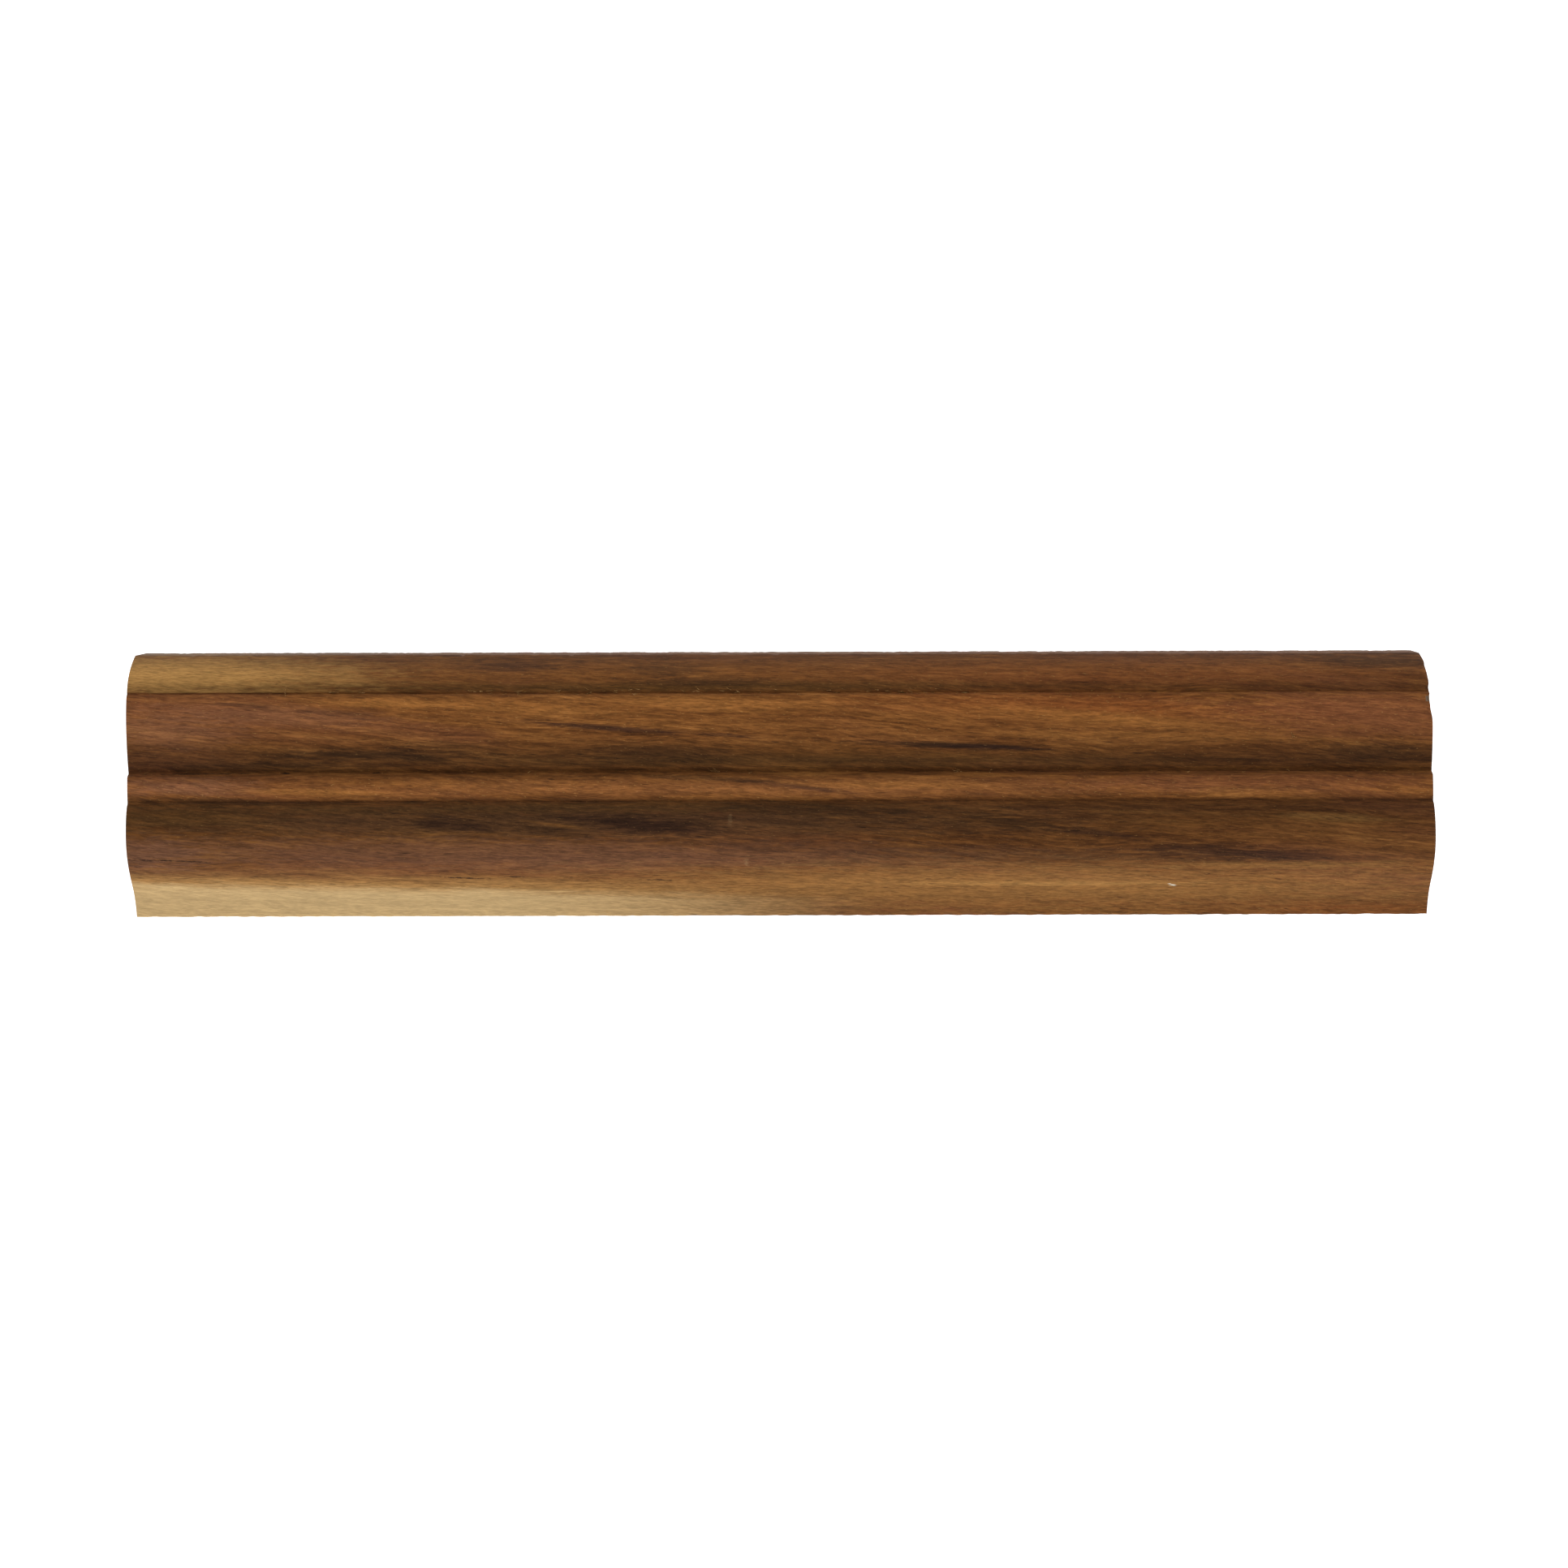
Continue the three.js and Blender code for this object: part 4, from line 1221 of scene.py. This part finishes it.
brass = brassMaterial()
inserts = [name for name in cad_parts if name.endswith("_insert")]
for name in inserts:
    finishPiece(name.replace("insert", "brass_sleeve"), makeInsert(name), [brass], [name])
print("brass inserts made:", len(inserts))

# the dowels

dowelShape = {"flutes": 20, "fluteDepth": 0.2, "chamfer": 0.8, "pointsPerFlute": 4}  # millimetres


def makeDowel(name):
    low, high, middle = seatOf(name)
    foot = Vector((middle, 0, low.z))
    radius = (high.y - low.y) / 2
    chamfer = dowelShape["chamfer"] * mm
    narrow = (radius - chamfer) / radius
    bm = bmesh.new()
    bmesh.ops.create_circle(bm, cap_ends=True, segments=dowelShape["flutes"] * dowelShape["pointsPerFlute"],
                            radius=radius, matrix=Matrix.Translation(foot))
    for v in bm.verts:
        spoke = v.co - foot
        dip = max(0, math.cos(math.atan2(spoke.y, spoke.x) * dowelShape["flutes"]))
        v.co -= spoke.normalized() * dip * dowelShape["fluteDepth"] * mm
    face = bm.faces[:][0]
    aboutAxis = Matrix.Translation((-middle, 0, 0))
    bmesh.ops.scale(bm, vec=(narrow, narrow, 1), space=aboutAxis, verts=bm.verts[:])
    face = pullFace(bm, face, (0, 0, chamfer), (1 / narrow, 1 / narrow, 1), (middle, 0, 0))
    face = pullFace(bm, face, (0, 0, high.z - low.z - 2 * chamfer))
    pullFace(bm, face, (0, 0, chamfer), (narrow, narrow, 1), (middle, 0, 0))
    return bm


def dowelMaterial():
    material, tree, shader = newMaterial("dowelWood", 0.7, 0, 0.25)
    place = millimetres(tree)
    upright = put(tree, "ShaderNodeMapping", {"Vector": place, "Rotation": (0, math.pi / 2, 0)}).outputs[0]
    values = {"Slope": 0.01, "Waver": 0.3, "Pith Y": -20.0, "Pith Z": 30.0, "Coarseness": 0.5}
    lines = useGroup(tree, grain, upright, values)
    colour = rampColour(tree, span(tree, lines["Streaks"], 0.3, 0.7), [
        (0, srgb(176, 134, 88)), (0.5, srgb(200, 162, 112)), (1, srgb(218, 184, 136))])
    colour = shadeBy(tree, colour, lines["Fibres"], 0.3, 0.7, 0.84, 1.1)
    colour = cover(tree, colour, lines["Flecks"], srgb(146, 100, 62), 0.5)
    wire(tree, shader, colour, lines["Fibres"], 0.06, 0.3)
    return material


dowelWood = dowelMaterial()
for name in [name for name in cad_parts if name.endswith("_dowel")]:
    finishPiece(name.replace("dowel", "fluted_dowel"), makeDowel(name), [dowelWood], [name])
print("dowels made")

# floor, light and camera

studio = {
    "floor": 0.8,
    "floorGlow": 0.65,
    "world": 0.1,
    "lights": {  # place, size and power of each soft panel
        "nearKey": ((0, -0.95, 0.5), (1.8, 0.6), 16.5),
        "farFill": ((0, 0.95, 0.6), (1.8, 0.6), 10),
        "leftSide": ((-1.1, 0, 0.6), (0.6, 1.2), 5.5),
        "rightSide": ((1.1, 0, 0.6), (0.6, 1.2), 5.5),
    },
}
floorMaterial, floorTree, floorShader = newMaterial("floor", 0.9)
floorShader.inputs["Base Color"].default_value = (studio["floor"],) * 3 + (1,)
floorShader.inputs["Emission Color"].default_value = (1, 1, 1, 1)
floorShader.inputs["Emission Strength"].default_value = studio["floorGlow"]
floorBlank = bmesh.new()
bmesh.ops.create_grid(floorBlank, x_segments=1, y_segments=1, size=6)
floorMesh = bpy.data.meshes.new("floor")
floorBlank.to_mesh(floorMesh)
floorBlank.free()
floorMesh.materials.append(floorMaterial)
floor = bpy.data.objects.new("floor", floorMesh)
bpy.context.scene.collection.objects.link(floor)

world = bpy.data.worlds.new("softStudio")
world.use_nodes = True
sky = world.node_tree.nodes["Background"]
sky.inputs["Color"].default_value = (1, 1, 1, 1)
seen = put(world.node_tree, "ShaderNodeLightPath").outputs["Is Camera Ray"]  # white behind, dim as a light
world.node_tree.links.new(reckon(world.node_tree, "MAXIMUM", seen, studio["world"]), sky.inputs["Strength"])
bpy.context.scene.world = world


def softLight(name, place, size, power):
    # a soft panel that faces the rail
    light = bpy.data.lights.new(name, "AREA")
    light.shape = "RECTANGLE"
    light.size, light.size_y = size
    light.energy = power
    lamp = bpy.data.objects.new(name, light)
    lamp.location = place
    aim = Vector((0, 0, highRail.z)) - Vector(place)
    lamp.rotation_euler = aim.to_track_quat("-Z", "Y").to_euler()
    bpy.context.scene.collection.objects.link(lamp)


for lightName, (place, size, power) in studio["lights"].items():
    softLight(lightName, place, size, power)

cameraPlace = {"x": 0.74 * mm, "y": -0.33 * mm, "height": 613 * mm, "lens": 66.3, "roll": 0.14}
cameraData = bpy.data.cameras.new("camera")
cameraData.lens = cameraPlace["lens"]
camera = bpy.data.objects.new("camera", cameraData)
camera.location = (cameraPlace["x"], cameraPlace["y"], cameraPlace["height"])
camera.rotation_euler = (0, 0, math.radians(-cameraPlace["roll"]))
bpy.context.scene.collection.objects.link(camera)
bpy.context.scene.camera = camera
bpy.context.scene.view_settings.view_transform = "Standard"
print("stage set")
